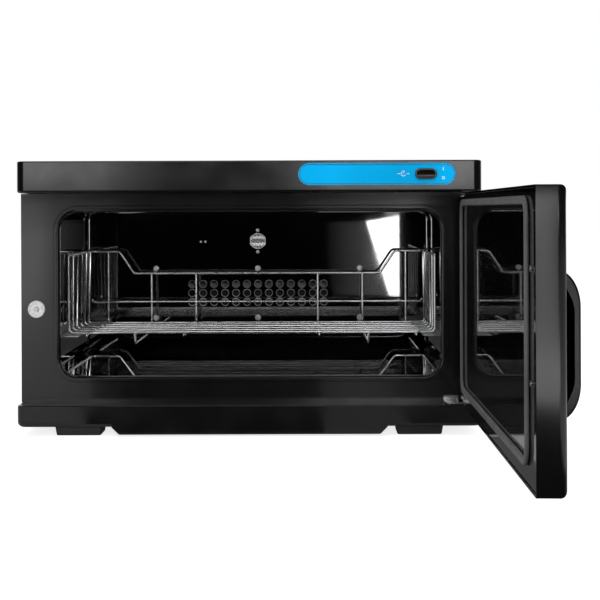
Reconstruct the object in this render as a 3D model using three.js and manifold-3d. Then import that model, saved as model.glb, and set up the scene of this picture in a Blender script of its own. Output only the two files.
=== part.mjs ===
// Countertop towel warmer cabinet with a side-hinged door, shown with the door open at a right angle.
// Millimetres. X runs across from the cabinet's centre line, Y back from the front of the cover, Z up from
// the table. The finished group is moved so that its origin is the centre of its footprint.
import * as THREE from "three";
import { mergeVertices } from "three/addons/utils/BufferGeometryUtils.js";
import Module from "manifold-3d";

const wasm = await Module();
wasm.setup();

// Fits shared by all pieces
const seatGap = 0.3;
const overrun = 2;
const sameSpot = 0.001;
const sheet = 0.8;

// Cabinet
const cabinetWidth = 450;
const cabinetDepth = 285;
const mouldWall = 2.4;
const mouldCorner = 9;
const footHeight = 9;
const baseHeight = 20.9;
const baseEdge = 5;
const bodyHeight = 205.2;
const coverHeight = 30.8;
const coverEdge = 2.5;
const bodySetback = 25;
const bodySideInset = 0.4;
const shellCorner = 4;

// Skirt below the base's front
const skirtSide = 91;
const skirtSlope = 9.5;
const skirtDrop = 7;

// Front opening and its raised rim
const openingSide = 38.05;
const openingSillHeight = 25.6;
const openingLintel = 18.1;
const openingCorner = 18;
const rimWidth = 6.2;
const rimProud = 0.8;

// Chamber
const chamberSide = 31.6;
const chamberRear = 58;
const chamberFloor = 24;
const chamberHeadroom = 1.8;
const chamberCorner = 13;
const chamberBackFlange = 2;
const insulationSide = 12;
const insulationTop = 9;
const insulationBottom = 10;

// Holes in the chamber's back wall
const airHoleRadius = 3.85;
const airHolePitchX = 12.4;
const airHolePitchZ = 10.1;
const airHoleColumns = 13;
const airHoleRows = 3;
const airHoleCentreShare = 0.5162;

// Mesh vent
const ventRadius = 8.9;
const ventThickness = 1;
const ventCentreShare = 0.8175;
const ventScrewReach = 12.3;
const ventEarWidth = 7;
const ventHoleRadius = 1.1;
const ventHolePitch = 3.3;
const ventHoleRings = 2;

// Heater behind the chamber
const heaterScrewReachX = 115;
const heaterScrewShare = 0.1427;
const heaterFlange = 8;
const heaterBoxWidth = 206;
const heaterBoxHeight = 42;
const heaterBoxDepth = 32;
const heaterTubeRadius = 3.5;
const heaterTubeSpan = 172;
const heaterTubeGap = 16;
const heaterTubeBack = 14;
const heaterTailLength = 12;

// Thermostat, fuse and terminal block
const thermostatX = -61.9;
const thermostatShare = 0.8144;
const thermostatRadius = 8;
const thermostatDepth = 9;
const rivetRadius = 1.1;
const rivetReach = 2.6;
const fuseRadius = 3;
const fuseLength = 16;
const terminalWidth = 44;
const terminalDepth = 16;
const terminalHeight = 15;
const terminalFromSide = 105;
const terminalBack = 9;
const terminalWays = 3;
const terminalScrewRadius = 2.2;
const terminalScrewDepth = 4;

// Wiring
const wireRadius = 1.6;
const wireBend = 8;
const wireHoleRadius = 5;
const riserFromSide = 65;
const riserBack = 12;
const wireLift = 8;

// Screws
const screwHeadRadius = 3.4;
const screwHeadHeight = 1.9;
const screwShankRadius = 1.5;
const screwLength = 7;
const smallHeadRadius = 2.1;
const smallHeadHeight = 1.2;
const smallShankRadius = 1;

// Control panel and rocker switch
const panelWidth = 151.6;
const panelHeight = 21.1;
const panelFromSide = 101.6;
const panelBelowTop = 13.4;
const panelThickness = 1;
const panelSink = 0.2;
const switchFromPanelCentre = 47.3;
const switchFlangeWidth = 21.5;
const switchFlangeHeight = 10.3;
const switchFlangeDepth = 1;
const switchBodyWidth = 20.4;
const switchBodyHeight = 9.7;
const switchBodyDepth = 15;
const switchPocketWidth = 18.2;
const switchPocketHeight = 8.1;
const switchPocketDepth = 7;
const rockerWidth = 17.2;
const rockerHeight = 6.6;
const rockerProud = 2.4;
const rockerDish = 1;
const rockerDepth = 5.9;
const rockerPivotDepth = 1.5;
const rockerPinRadius = 1;
const rockerPinLength = 19.8;
const rockerTilt = 7;
const tagWidth = 4.8;
const tagThickness = 0.8;
const tagLength = 7;

// Feet
const footTopWidth = 46;
const footBottomWidth = 43;
const footDepth = 30;
const footFromSide = 60.5;
const footFrontInset = 9;
const footCorner = 2;
const footStemRadius = 4;

// Basket rails
const railHeight = 22;
const railShelf = 22;
const railFrontInset = 14;
const railRearInset = 5;

// Baskets
const wireThin = 1.25;
const wireThick = 1.5;
const weldBite = 0.5;
const basketSideClearance = 9.35;
const basketFront = 58;
const basketCrossWires = 6;
const basketRearClearance = 27;
const basketLastWire = 17;
const basketBendRadius = 10;
const basketUprightBend = 8;
const basketLead = 1;
const basketFrontTail = 5;
const uprightShares = [0.3673, 0.6357, 0.8965];
const highRailShare = 0.8313;
const lowRailShare = 0.7416;
const upperFloorHeight = 69.5;
const upperRailBelowTop = 46;
const railDip = 24.5;
const midRailShare = 0.2911;
const skidDrop = 10;
const skidRearInset = 28;
const lowerRailHeight = 32;
const lowerRailDip = 22.2;

// Door, in its own frame: origin on the hinge pin's axis
const doorOpenAngle = 90;
const pinFromSide = 11.6;
const pinY = 11.9;
const doorFreeInset = 1;
const doorHeel = 10;
const doorBottomGap = 0.5;
const doorTopGap = 0.4;
const doorSheet = 1;
const doorOuterCorner = 5;
const doorInnerCorner = 1;
const doorNotchWidth = 39;
const doorNotchHeight = 1.9;
const innerPanelSheet = 1;
const innerPanelInset = 0.8;
const gasketProud = 3.4;
const gasketBand = 6.5;
const gasketFreeInset = 29;
const gasketHeelInset = 30;
const gasketTopInset = 6.5;
const gasketBottomInset = 15.5;
const gasketCorner = 20;
const panelScrewInset = 19;
const panelScrewShares = [0.727, 0.354];

// Handle
const handleEdgeInset = 55;
const handleWidth = 22;
const handleLength = 103.6;
const handleCentreShare = 0.463;
const handleProud = 17.4;
const handleThickness = 6.3;
const handleGapLength = 78;
const handleEdge = 2;
const handlePegRadius = 3;
const handlePegLength = 5;
const handleBowPower = 4.7;
const handleSteps = 14;

// Catch
const strikeFromSide = 15.4;
const strikeShare = 0.4463;
const strikeRadius = 8.5;
const strikeThickness = 2.4;
const strikeDish = 0.8;
const strikeRim = 1.6;
const magnetRadius = 7;
const magnetThickness = 4;

// Hinges
const hingePinRadius = 3;
const hingePinLength = 13;
const hingePlate = 1.2;
const hingePlateInward = 24.4;
const hingePlateOutward = 6;
const hingePlateFront = 4;
const hingeUprightHeight = 4.5;
const hingeUprightInset = 9.9;
const hingeTongue = 20;
const bushWall = 1.8;
const bushFlange = 1.4;
const bushFlangeHeight = 0.6;
const bushClearance = 0.35;

// Cable gland
const glandFromSide = 75;
const glandHeight = 31.8;
const glandBore = 4;
const glandWall = 3;
const glandFlange = 2.5;
const glandOut = 6;
const glandIn = 6;

// Levels and planes worked out from the sizes above
const baseTop = footHeight + baseHeight;
const bodyBottom = baseTop + seatGap;
const bodyTop = bodyBottom + bodyHeight - 2 * seatGap;
const coverBottom = bodyTop + seatGap;
const coverTop = coverBottom + coverHeight;
const halfWidth = cabinetWidth / 2;
const bodyHalf = halfWidth - bodySideInset;
const skirtTop = halfWidth - skirtSide;
const skirtBottom = skirtTop - skirtSlope;
const openingHalf = halfWidth - openingSide;
const openingSill = bodyBottom + openingSillHeight;
const openingTop = bodyTop - openingLintel;
const frameBack = bodySetback + sheet;
const chamberFront = frameBack + seatGap;
const chamberBack = cabinetDepth - chamberRear;
const chamberTop = openingTop + chamberHeadroom;
const chamberHeight = chamberTop - chamberFloor;
const chamberHalf = halfWidth - chamberSide;
const airHoleCentreZ = chamberFloor + chamberHeight * airHoleCentreShare;
const ventCentreZ = chamberFloor + chamberHeight * ventCentreShare;
const thermostatZ = chamberFloor + chamberHeight * thermostatShare;
const heaterScrewReachZ = chamberHeight * heaterScrewShare;
const heaterScrewLowZ = airHoleCentreZ - heaterScrewReachZ;
const heaterScrewHighZ = airHoleCentreZ + heaterScrewReachZ;
const terminalX = halfWidth - terminalFromSide;
const riserX = halfWidth - riserFromSide;
const panelCentreX = halfWidth - panelFromSide;
const panelCentreZ = coverTop - panelBelowTop;
const switchCentreX = panelCentreX + switchFromPanelCentre;
const footCentreX = halfWidth - footFromSide;
const basketHalfWidth = chamberHalf - basketSideClearance;
const basketBack = chamberBack - basketRearClearance;
const uprightPlaces = uprightShares.map((share) => basketHalfWidth * share);
const highRailEnd = basketHalfWidth * highRailShare;
const lowRailEnd = basketHalfWidth * lowRailShare;
const upperFloor = chamberFloor + upperFloorHeight;
const upperRail = chamberTop - upperRailBelowTop;
const upperMidRail = upperFloor + (upperRail - upperFloor) * midRailShare;
const lowerRail = chamberFloor + lowerRailHeight;
const strikeX = strikeFromSide - halfWidth;
const strikeZ = bodyBottom + (bodyTop - bodyBottom) * strikeShare;
const glandX = halfWidth - glandFromSide;
const glandZ = bodyBottom + glandHeight;
const rearPanelBack = cabinetDepth - mouldWall + seatGap / 2;
const rearPanelFront = rearPanelBack - sheet;
const shellBack = rearPanelFront - seatGap;
const heaterFront = chamberBack + sheet + seatGap;
const pinX = halfWidth - pinFromSide;
const doorReach = pinX + halfWidth - doorFreeInset;
const doorBottom = bodyBottom + doorBottomGap;
const doorTop = bodyTop - doorTopGap;
const doorHeight = doorTop - doorBottom;
const panelScrewZs = panelScrewShares.map((share) => doorBottom + doorHeight * share);
const handleCentreZ = doorBottom + doorHeight * handleCentreShare;
const hingePlateInner = pinX - hingePlateInward;
const hingePlateOuter = pinX + hingePlateOutward;
const hingeUprightEnd = pinX - hingeUprightInset;
const doorThickness = bodySetback - rimProud - seatGap - gasketProud;
const doorOuterY = -pinY;
const doorInnerY = doorOuterY + doorThickness;
const glandBack = rearPanelBack + seatGap + glandOut;
const handleTipX = pinX + pinY + handleProud;
const doorFreeY = pinY - doorReach;

// Finishes
const looks = {
  coverBlack: { color: 0x161617, roughness: 0.22, metalness: 0 },
  bodyBlack: { color: 0x101011, roughness: 0.32, metalness: 0.1 },
  doorBlack: { color: 0x0d0d0e, roughness: 0.12, metalness: 0.1 },
  mirrorSteel: { color: 0x3c3d3f, roughness: 0.08, metalness: 1 },
  chrome: { color: 0xd8d9da, roughness: 0.12, metalness: 1 },
  steel: { color: 0xb4b6b8, roughness: 0.35, metalness: 1 },
  galvanised: { color: 0x9a9d9f, roughness: 0.5, metalness: 0.9 },
  panelBlue: { color: 0x02aeef, roughness: 0.35, metalness: 0 },
  switchBlack: { color: 0x0b0b0c, roughness: 0.3, metalness: 0 },
  gasketGrey: { color: 0x5f6062, roughness: 0.75, metalness: 0 },
  rubber: { color: 0x141415, roughness: 0.85, metalness: 0 },
  wool: { color: 0xd9cf9c, roughness: 1, metalness: 0 },
  foam: { color: 0xe6e2d6, roughness: 0.95, metalness: 0 },
  nylon: { color: 0xe9e9e6, roughness: 0.5, metalness: 0 },
  ceramic: { color: 0xe4ddd0, roughness: 0.6, metalness: 0 },
  cableRed: { color: 0x9c2a21, roughness: 0.5, metalness: 0 },
  cableBlue: { color: 0x29487f, roughness: 0.5, metalness: 0 },
  magnetGrey: { color: 0x3a3a3c, roughness: 0.6, metalness: 0.3 },
};

// Solids from geometries
function solidOf(geometry) {
  const loose = geometry.index ? geometry.toNonIndexed() : geometry;
  loose.deleteAttribute("normal");
  loose.deleteAttribute("uv");
  const welded = mergeVertices(loose);
  const corners = welded.index.array;
  const kept = [];
  for (let i = 0; i < corners.length; i += 3) {
    const [a, b, c] = corners.slice(i, i + 3);
    if (a !== b && b !== c && c !== a) kept.push(a, b, c);
  }
  const vertProperties = welded.attributes.position.array;
  return new wasm.Manifold(new wasm.Mesh({ numProp: 3, vertProperties, triVerts: new Uint32Array(kept) }));
}

function geometryOf(solid) {
  const made = solid.getMesh();
  const geometry = new THREE.BufferGeometry();
  geometry.setAttribute("position", new THREE.BufferAttribute(Float32Array.from(made.vertProperties), 3));
  geometry.setIndex(new THREE.BufferAttribute(Uint32Array.from(made.triVerts), 1));
  geometry.computeVertexNormals();
  return geometry;
}

function joined(solids) {
  return solids.reduce((whole, next) => whole.add(next));
}

function cut(solid, tools) {
  return tools.reduce((left, tool) => left.subtract(tool), solid);
}

// Each span is a low and a high place along its axis
function block(spanX, spanY, spanZ) {
  const spans = [spanX, spanY, spanZ];
  const [width, depth, height] = spans.map(([low, high]) => high - low);
  const [x, y, z] = spans.map(([low, high]) => (low + high) / 2);
  return solidOf(new THREE.BoxGeometry(width, depth, height).translate(x, y, z));
}

// Outlines are drawn in two axes and drawn out along the third
const axes = { x: new THREE.Vector3(1, 0, 0), y: new THREE.Vector3(0, 1, 0), z: new THREE.Vector3(0, 0, 1) };
const backwards = axes.y.clone().negate();

function drawnOut(shape, [low, high], basis) {
  const geometry = new THREE.ExtrudeGeometry(shape, { depth: high - low, bevelEnabled: false });
  return geometry.applyMatrix4(new THREE.Matrix4().makeBasis(...basis));
}

function alongZ(shape, span) {
  return solidOf(drawnOut(shape, span, [axes.x, axes.y, axes.z]).translate(0, 0, span[0]));
}

function alongY(shape, span) {
  return solidOf(drawnOut(shape, span, [axes.x, axes.z, backwards]).translate(0, span[1], 0));
}

function alongX(shape, span) {
  return solidOf(drawnOut(shape, span, [axes.y, axes.z, axes.x]).translate(span[0], 0, 0));
}

function polygon(points) {
  const corners = points.map(([u, v]) => new THREE.Vector2(u, v));
  return new THREE.Shape(corners.filter((corner, i) => corner.distanceTo(corners.at(i - 1)) > sameSpot));
}

function roundedRect([left, right], [low, high], radius, steps = 4) {
  const centres = [
    [right - radius, high - radius],
    [left + radius, high - radius],
    [left + radius, low + radius],
    [right - radius, low + radius],
  ];
  const points = centres.flatMap(([u, v], quarter) =>
    Array.from({ length: steps + 1 }, (_, i) => {
      const angle = ((quarter + i / steps) * Math.PI) / 2;
      return [u + radius * Math.cos(angle), v + radius * Math.sin(angle)];
    }),
  );
  return polygon(points);
}

function span(centre, size) {
  return [centre - size / 2, centre + size / 2];
}

function grown([low, high], by) {
  return [low - by, high + by];
}

function stadium(centreX, centreZ, width, height, steps = 4) {
  return roundedRect(span(centreX, width), span(centreZ, height), Math.min(width, height) / 2, steps);
}

// Turned pieces: the profile lists radius and height, from the axis round to the axis
function aimed(geometry, foot, direction) {
  const turn = new THREE.Quaternion().setFromUnitVectors(axes.y, direction);
  return geometry.applyQuaternion(turn).translate(...foot);
}

function turned(profile, foot, direction, sides = 16) {
  const points = profile.map(([radius, height]) => new THREE.Vector2(radius, height));
  return solidOf(aimed(new THREE.LatheGeometry(points, sides), foot, direction));
}

function rod(foot, direction, length, radius, sides = 16) {
  const geometry = new THREE.CylinderGeometry(radius, radius, length, sides).translate(0, length / 2, 0);
  return solidOf(aimed(geometry, foot, direction));
}

// A bent wire: straight runs between corners, with short steps round each bend
class BentPath extends THREE.Curve {
  constructor(corners, bendRadius, stepsPerBend) {
    super();
    const points = corners.map((corner) => new THREE.Vector3(...corner));
    this.stations = [points[0]];
    for (let i = 1; i < points.length - 1; i++) {
      this.addBend(points[i - 1], points[i], points[i + 1], bendRadius, stepsPerBend);
    }
    this.addStation(points.at(-1));
  }

  addStation(point) {
    if (point.distanceTo(this.stations.at(-1)) > sameSpot) this.stations.push(point);
  }

  addBend(before, corner, after, radius, steps) {
    const back = before.clone().sub(corner).normalize();
    const ahead = after.clone().sub(corner).normalize();
    const halfAngle = back.angleTo(ahead) / 2;
    const setback = radius / Math.tan(halfAngle);
    const bisector = back.clone().add(ahead).normalize();
    const centre = corner.clone().addScaledVector(bisector, radius / Math.sin(halfAngle));
    const start = corner.clone().addScaledVector(back, setback).sub(centre);
    const end = corner.clone().addScaledVector(ahead, setback).sub(centre);
    const axis = start.clone().cross(end).normalize();
    const sweep = start.angleTo(end);
    for (let i = 0; i <= steps; i++) {
      this.addStation(start.clone().applyAxisAngle(axis, (sweep * i) / steps).add(centre));
    }
  }

  indexAt(share) {
    return Math.round(share * (this.stations.length - 1));
  }

  getPointAt(share, target = new THREE.Vector3()) {
    return target.copy(this.stations[this.indexAt(share)]);
  }

  getTangentAt(share, target = new THREE.Vector3()) {
    const index = this.indexAt(share);
    const here = this.stations[index];
    const before = this.stations[index - 1] ?? here;
    const after = this.stations[index + 1] ?? here;
    const arriving = here.clone().sub(before).normalize();
    const leaving = after.clone().sub(here).normalize();
    return target.copy(arriving.add(leaving).normalize());
  }
}

function wire(corners, radius, { bend = wireBend, steps = 3, sides = 6 } = {}) {
  const path = new BentPath(corners, bend, steps);
  const section = Array.from({ length: sides }, (_, i) => {
    const angle = ((i + 1 / 2) * 2 * Math.PI) / sides;
    return [radius * Math.cos(angle), radius * Math.sin(angle)];
  });
  const options = { steps: path.stations.length - 1, extrudePath: path, bevelEnabled: false };
  return solidOf(new THREE.ExtrudeGeometry(polygon(section), options));
}

// A block with rounded upright edges and rounded rims, as moulded covers have
function roundedBlock(spanX, spanY, spanZ, corner, edge) {
  const shape = roundedRect(grown(spanX, -edge), grown(spanY, -edge), corner - edge, 3);
  const geometry = new THREE.ExtrudeGeometry(shape, {
    depth: spanZ[1] - spanZ[0] - 2 * edge,
    bevelThickness: edge,
    bevelSize: edge,
    bevelSegments: 3,
  });
  return solidOf(geometry.translate(0, 0, spanZ[0] + edge));
}

// The scene: the cabinet stands still, and each moving piece has a group of its own
const part = new THREE.Group();
const cabinet = new THREE.Group();
const door = new THREE.Group();
const rocker = new THREE.Group();
const upperBasket = new THREE.Group();
const lowerBasket = new THREE.Group();
cabinet.add(door, rocker, upperBasket, lowerBasket);
part.add(cabinet);

function place(group, name, solid, look) {
  const mesh = new THREE.Mesh(geometryOf(solid), new THREE.MeshStandardMaterial(looks[look]));
  mesh.name = name;
  group.add(mesh);
}

function sideName(sign) {
  return sign < 0 ? "left" : "right";
}

// Screws
function screw(foot, direction, headRadius, headHeight, shankRadius, length) {
  const crown = 2 / 3;
  const profile = [
    [0, -length],
    [shankRadius, -length],
    [shankRadius, 0],
    [headRadius, 0],
    [headRadius, headHeight / 2],
    [headRadius * crown, headHeight],
    [0, headHeight],
  ];
  return turned(profile, foot, direction, 12);
}

function plainScrew(foot, direction) {
  return screw(foot, direction, screwHeadRadius, screwHeadHeight, screwShankRadius, screwLength);
}

function smallScrew(foot, direction) {
  return screw(foot, direction, smallHeadRadius, smallHeadHeight, smallShankRadius, screwLength);
}

function screwHole(foot, direction, shankRadius) {
  return rod(foot, direction, 2 * screwLength, shankRadius + seatGap, 12);
}

// Base tray: a moulded pan with a ledge in front of the body and a skirt under its front edge
const trayBottomTop = footHeight + mouldWall;
const trayInner = halfWidth - mouldWall;
const trayMouthCorner = (mouldCorner - mouldWall) / 2;
const footYs = [footFrontInset + footDepth / 2, cabinetDepth - footFrontInset - footDepth / 2];
const footPlaces = footYs.flatMap((y) => [-1, 1].map((sign) => [sign * footCentreX, y]));

function baseTray() {
  const outside = roundedBlock(
    [-halfWidth, halfWidth],
    [0, cabinetDepth],
    [footHeight, baseTop + baseEdge],
    mouldCorner,
    baseEdge,
  );
  const above = block(
    grown([-halfWidth, halfWidth], overrun),
    grown([0, cabinetDepth], overrun),
    [baseTop, baseTop + baseEdge + overrun],
  );
  const hollow = alongZ(
    roundedRect([-trayInner, trayInner], [mouldWall, cabinetDepth - mouldWall], mouldCorner - mouldWall),
    [trayBottomTop, baseTop - mouldWall],
  );
  const mouth = alongZ(
    roundedRect([-trayInner, trayInner], [bodySetback - seatGap, cabinetDepth - mouldWall], trayMouthCorner),
    [trayBottomTop, baseTop + overrun],
  );
  const skirt = alongY(
    polygon([
      [-skirtBottom, footHeight - skirtDrop],
      [skirtBottom, footHeight - skirtDrop],
      [skirtTop, footHeight],
      [skirtTop, footHeight + baseEdge],
      [-skirtTop, footHeight + baseEdge],
      [-skirtTop, footHeight],
    ]),
    [0, mouldWall],
  );
  const stemHoles = footPlaces.map(([x, y]) =>
    rod([x, y, footHeight - overrun], axes.z, mouldWall + 2 * overrun, footStemRadius + seatGap, 12),
  );
  return cut(joined([cut(outside, [above, hollow, mouth]), skirt]), stemHoles);
}
place(cabinet, "base_tray", baseTray(), "coverBlack");

// Feet: tapered rubber blocks with a stem pushed through the tray
function foot(x, y) {
  const top = footTopWidth / 2;
  const bottom = footBottomWidth / 2;
  const shape = polygon([
    [x - bottom + footCorner, 0],
    [x + bottom - footCorner, 0],
    [x + bottom, footCorner],
    [x + top, footHeight - seatGap],
    [x - top, footHeight - seatGap],
    [x - bottom, footCorner],
  ]);
  const stem = rod([x, y, footHeight - overrun], axes.z, mouldWall + overrun, footStemRadius, 12);
  return joined([alongY(shape, span(y, footDepth)), stem]);
}
for (const [x, y] of footPlaces) {
  const end = y < cabinetDepth / 2 ? "front" : "rear";
  place(cabinet, `foot_${end}_${sideName(x)}`, foot(x, y), "rubber");
}

// Front frame: a plate with the opening and its raised rim, standing in the tray behind the ledge
const openingSpanX = [-openingHalf, openingHalf];
const openingSpanZ = [openingSill, openingTop];

function frontFrame() {
  const wide = bodyHalf;
  const narrow = trayInner - trayMouthCorner - seatGap;
  const plate = alongY(
    polygon([
      [-narrow, trayBottomTop + seatGap],
      [narrow, trayBottomTop + seatGap],
      [narrow, bodyBottom],
      [wide, bodyBottom],
      [wide, bodyTop],
      [-wide, bodyTop],
      [-wide, bodyBottom],
      [-narrow, bodyBottom],
    ]),
    [bodySetback, frameBack],
  );
  const rimCorner = openingCorner + rimWidth;
  const rim = alongY(
    roundedRect(grown(openingSpanX, rimWidth), grown(openingSpanZ, rimWidth), rimCorner, 6),
    [bodySetback - rimProud, frameBack],
  );
  const opening = alongY(
    roundedRect(openingSpanX, openingSpanZ, openingCorner, 6),
    [bodySetback - rimProud - overrun, frameBack + overrun],
  );
  const strikeHole = screwHole([strikeX, bodySetback - screwLength, strikeZ], axes.y, screwShankRadius);
  return cut(joined([plate, rim]), [opening, strikeHole]);
}
place(cabinet, "front_frame", frontFrame(), "bodyBlack");

// Outer shell: one sheet bent over the sides and the top
const riserY = rearPanelFront - riserBack;

function outerShell() {
  const deep = [frameBack + seatGap, shellBack];
  const skin = (inset, corner, low) => {
    const half = bodyHalf - inset;
    return roundedRect([-half, half], [low, bodyTop - inset], corner);
  };
  const outside = alongY(skin(0, shellCorner, bodyBottom - shellCorner), deep);
  const inside = alongY(skin(sheet, shellCorner - sheet, -shellCorner), grown(deep, overrun));
  const below = block([-halfWidth, halfWidth], grown(deep, overrun), [-footHeight, bodyBottom]);
  const wireHole = rod([riserX, riserY, bodyTop - overrun], axes.z, 2 * overrun, wireHoleRadius, 12);
  return cut(outside, [inside, below, wireHole]);
}
place(cabinet, "outer_shell", outerShell(), "bodyBlack");

// Rear panel with its louvre slots, screw holes and the gland's hole
const rearScrewInset = 12;
const rearScrews = [-1, 1].map((sign) => [sign * (bodyHalf - rearScrewInset), bodyTop - rearScrewInset]);
const louvreCount = 6;
const louvreLength = 60;
const louvreHeight = 3.2;
const louvrePitch = 8;
const louvreBelowTop = 64.8;

function rearPanel() {
  const plate = block([-bodyHalf, bodyHalf], [rearPanelFront, rearPanelBack], [bodyBottom, bodyTop]);
  const through = grown([rearPanelFront, rearPanelBack], overrun);
  const louvres = Array.from({ length: louvreCount }, (_, i) =>
    alongY(stadium(0, bodyTop - louvreBelowTop + i * louvrePitch, louvreLength, louvreHeight, 2), through),
  );
  const holes = rearScrews.map(([x, z]) => screwHole([x, rearPanelBack - screwLength, z], axes.y, screwShankRadius));
  const glandHole = rod([glandX, through[0], glandZ], axes.y, through[1] - through[0], glandBore + glandWall + seatGap);
  return cut(plate, [...louvres, ...holes, glandHole]);
}
place(cabinet, "rear_panel", rearPanel(), "bodyBlack");
for (const [x, z] of rearScrews) {
  place(cabinet, `rear_screw_${sideName(x)}`, plainScrew([x, rearPanelBack + seatGap, z], axes.y), "steel");
}

// Cable gland: a flanged bush that the mains cord passes through
function cableGland() {
  const neck = glandBore + glandWall;
  const flange = neck + glandFlange;
  const back = rearPanelBack + seatGap;
  const front = rearPanelFront - seatGap;
  const profile = [
    [glandBore, front - glandIn],
    [flange, front - glandIn],
    [flange, front],
    [neck, front],
    [neck, back],
    [flange, back],
    [neck, glandBack],
    [glandBore, glandBack],
    [glandBore, front - glandIn],
  ];
  return turned(profile, [glandX, 0, glandZ], axes.y);
}
place(cabinet, "cable_gland", cableGland(), "rubber");

// Top cover: a moulded lid open below, with a pocket for the control panel
const switchHole = grown(span(panelCentreZ, switchBodyHeight), seatGap / 2);

function switchCutter(deep) {
  const shape = roundedRect(grown(span(switchCentreX, switchBodyWidth), seatGap / 2), switchHole, mouldWall, 2);
  return alongY(shape, deep);
}

function topCover() {
  const outside = roundedBlock(
    [-halfWidth, halfWidth],
    [0, cabinetDepth],
    [coverBottom - coverEdge, coverTop],
    mouldCorner,
    coverEdge,
  );
  const below = block(
    grown([-halfWidth, halfWidth], overrun),
    grown([0, cabinetDepth], overrun),
    [coverBottom - coverEdge - overrun, coverBottom],
  );
  const hollow = alongZ(
    roundedRect([-trayInner, trayInner], [mouldWall, cabinetDepth - mouldWall], mouldCorner - mouldWall),
    [coverBottom - overrun, coverTop - mouldWall],
  );
  const pocket = alongY(
    stadium(panelCentreX, panelCentreZ, panelWidth + 2 * seatGap, panelHeight + 2 * seatGap, 8),
    [-overrun, panelSink + panelThickness + seatGap],
  );
  return cut(outside, [below, hollow, pocket, switchCutter([-overrun, mouldWall + overrun])]);
}
place(cabinet, "top_cover", topCover(), "coverBlack");

// Control panel: a thin stadium plate let into the cover
function controlPanel() {
  const plate = alongY(
    stadium(panelCentreX, panelCentreZ, panelWidth, panelHeight, 8),
    [panelSink, panelSink + panelThickness],
  );
  return cut(plate, [switchCutter([-overrun, mouldWall + overrun])]);
}
place(cabinet, "control_panel", controlPanel(), "panelBlue");

// Rocker switch: a flanged housing with two tags, and the rocker on its pin
const switchFlangeFront = panelSink - seatGap - switchFlangeDepth;
const switchBodyBack = panelSink + switchBodyDepth;

function switchHousing() {
  const flange = alongY(
    stadium(switchCentreX, panelCentreZ, switchFlangeWidth, switchFlangeHeight),
    [switchFlangeFront, panelSink - seatGap],
  );
  const body = alongY(
    roundedRect(span(switchCentreX, switchBodyWidth), span(panelCentreZ, switchBodyHeight), mouldWall, 2),
    [switchFlangeFront + switchFlangeDepth / 2, switchBodyBack],
  );
  const pocket = alongY(
    stadium(switchCentreX, panelCentreZ, switchPocketWidth, switchPocketHeight),
    [switchFlangeFront - overrun, switchFlangeFront + switchPocketDepth],
  );
  const pinHole = rod(
    [switchCentreX - rockerPinLength / 2 - seatGap / 2, rockerPivotDepth, panelCentreZ],
    axes.x,
    rockerPinLength + seatGap,
    rockerPinRadius + seatGap,
    12,
  );
  const tags = [-1, 1].map((sign) =>
    block(
      span(switchCentreX + sign * tagWidth, tagWidth),
      [switchBodyBack - tagThickness, switchBodyBack + tagLength],
      span(panelCentreZ, tagThickness),
    ),
  );
  return cut(joined([flange, body, ...tags]), [pocket, pinHole]);
}
place(cabinet, "switch_housing", switchHousing(), "switchBlack");

function powerRocker() {
  const outline = alongY(
    stadium(0, 0, rockerWidth, rockerHeight),
    [-rockerProud - rockerPivotDepth - overrun, rockerDepth],
  );
  const half = rockerHeight / 2;
  const face = -rockerProud - rockerPivotDepth;
  const back = face + rockerDepth;
  const profile = alongX(
    polygon([
      [face, -half - overrun],
      [face, -half],
      [face + rockerDish, 0],
      [face, half],
      [face, half + overrun],
      [back, half + overrun],
      [back, -half - overrun],
    ]),
    span(0, rockerWidth + overrun),
  );
  const pin = rod([-rockerPinLength / 2, 0, 0], axes.x, rockerPinLength, rockerPinRadius, 12);
  return outline.intersect(profile).add(pin);
}
place(rocker, "power_rocker", powerRocker(), "switchBlack");
rocker.position.set(switchCentreX, rockerPivotDepth, panelCentreZ);
rocker.rotation.x = THREE.MathUtils.degToRad(rockerTilt);

// Chamber liner: a folded sleeve, open at both ends
function sleeve(inset, spanY) {
  const half = chamberHalf + inset;
  const tall = [chamberFloor - inset, chamberTop + inset];
  return alongY(roundedRect([-half, half], tall, chamberCorner + inset), spanY);
}
const linerSpan = [chamberFront, chamberBack - seatGap];
place(cabinet, "chamber_liner", cut(sleeve(sheet, linerSpan), [sleeve(0, grown(linerSpan, overrun))]), "mirrorSteel");

// Chamber back wall, with air holes, the vent's hole and screw holes
const heaterScrews = [heaterScrewHighZ, heaterScrewLowZ].flatMap((z) =>
  [-heaterScrewReachX, 0, heaterScrewReachX].map((x) => [x, z]),
);
const ventScrews = [-1, 1].map((sign) => [0, ventCentreZ + sign * ventScrewReach]);
const rivetPlaces = [-1, 1].map((sign) => [thermostatX + sign * rivetReach, thermostatZ]);

function rowOf(count, pitch) {
  return Array.from({ length: count }, (_, i) => (i - (count - 1) / 2) * pitch);
}

function chamberBackWall() {
  const spanY = [chamberBack, chamberBack + sheet];
  const rim = sheet + chamberBackFlange;
  const plate = sleeve(rim, spanY);
  const hole = (x, z, radius, sides) => rod([x, spanY[0] - overrun, z], axes.y, sheet + 2 * overrun, radius, sides);
  const airHoles = rowOf(airHoleColumns, airHolePitchX).flatMap((x) =>
    rowOf(airHoleRows, airHolePitchZ).map((z) => hole(x, airHoleCentreZ + z, airHoleRadius, 8)),
  );
  const ventHole = hole(0, ventCentreZ, ventRadius + seatGap, 16);
  const screwHoles = heaterScrews.map(([x, z]) => hole(x, z, screwShankRadius + seatGap, 8));
  const smallHoles = ventScrews.map(([x, z]) => hole(x, z, smallShankRadius + seatGap, 8));
  const rivetHoles = rivetPlaces.map(([x, z]) => hole(x, z, rivetRadius + seatGap, 8));
  return cut(plate, [...airHoles, ventHole, ...screwHoles, ...smallHoles, ...rivetHoles]);
}
place(cabinet, "chamber_back_wall", chamberBackWall(), "mirrorSteel");

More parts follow.
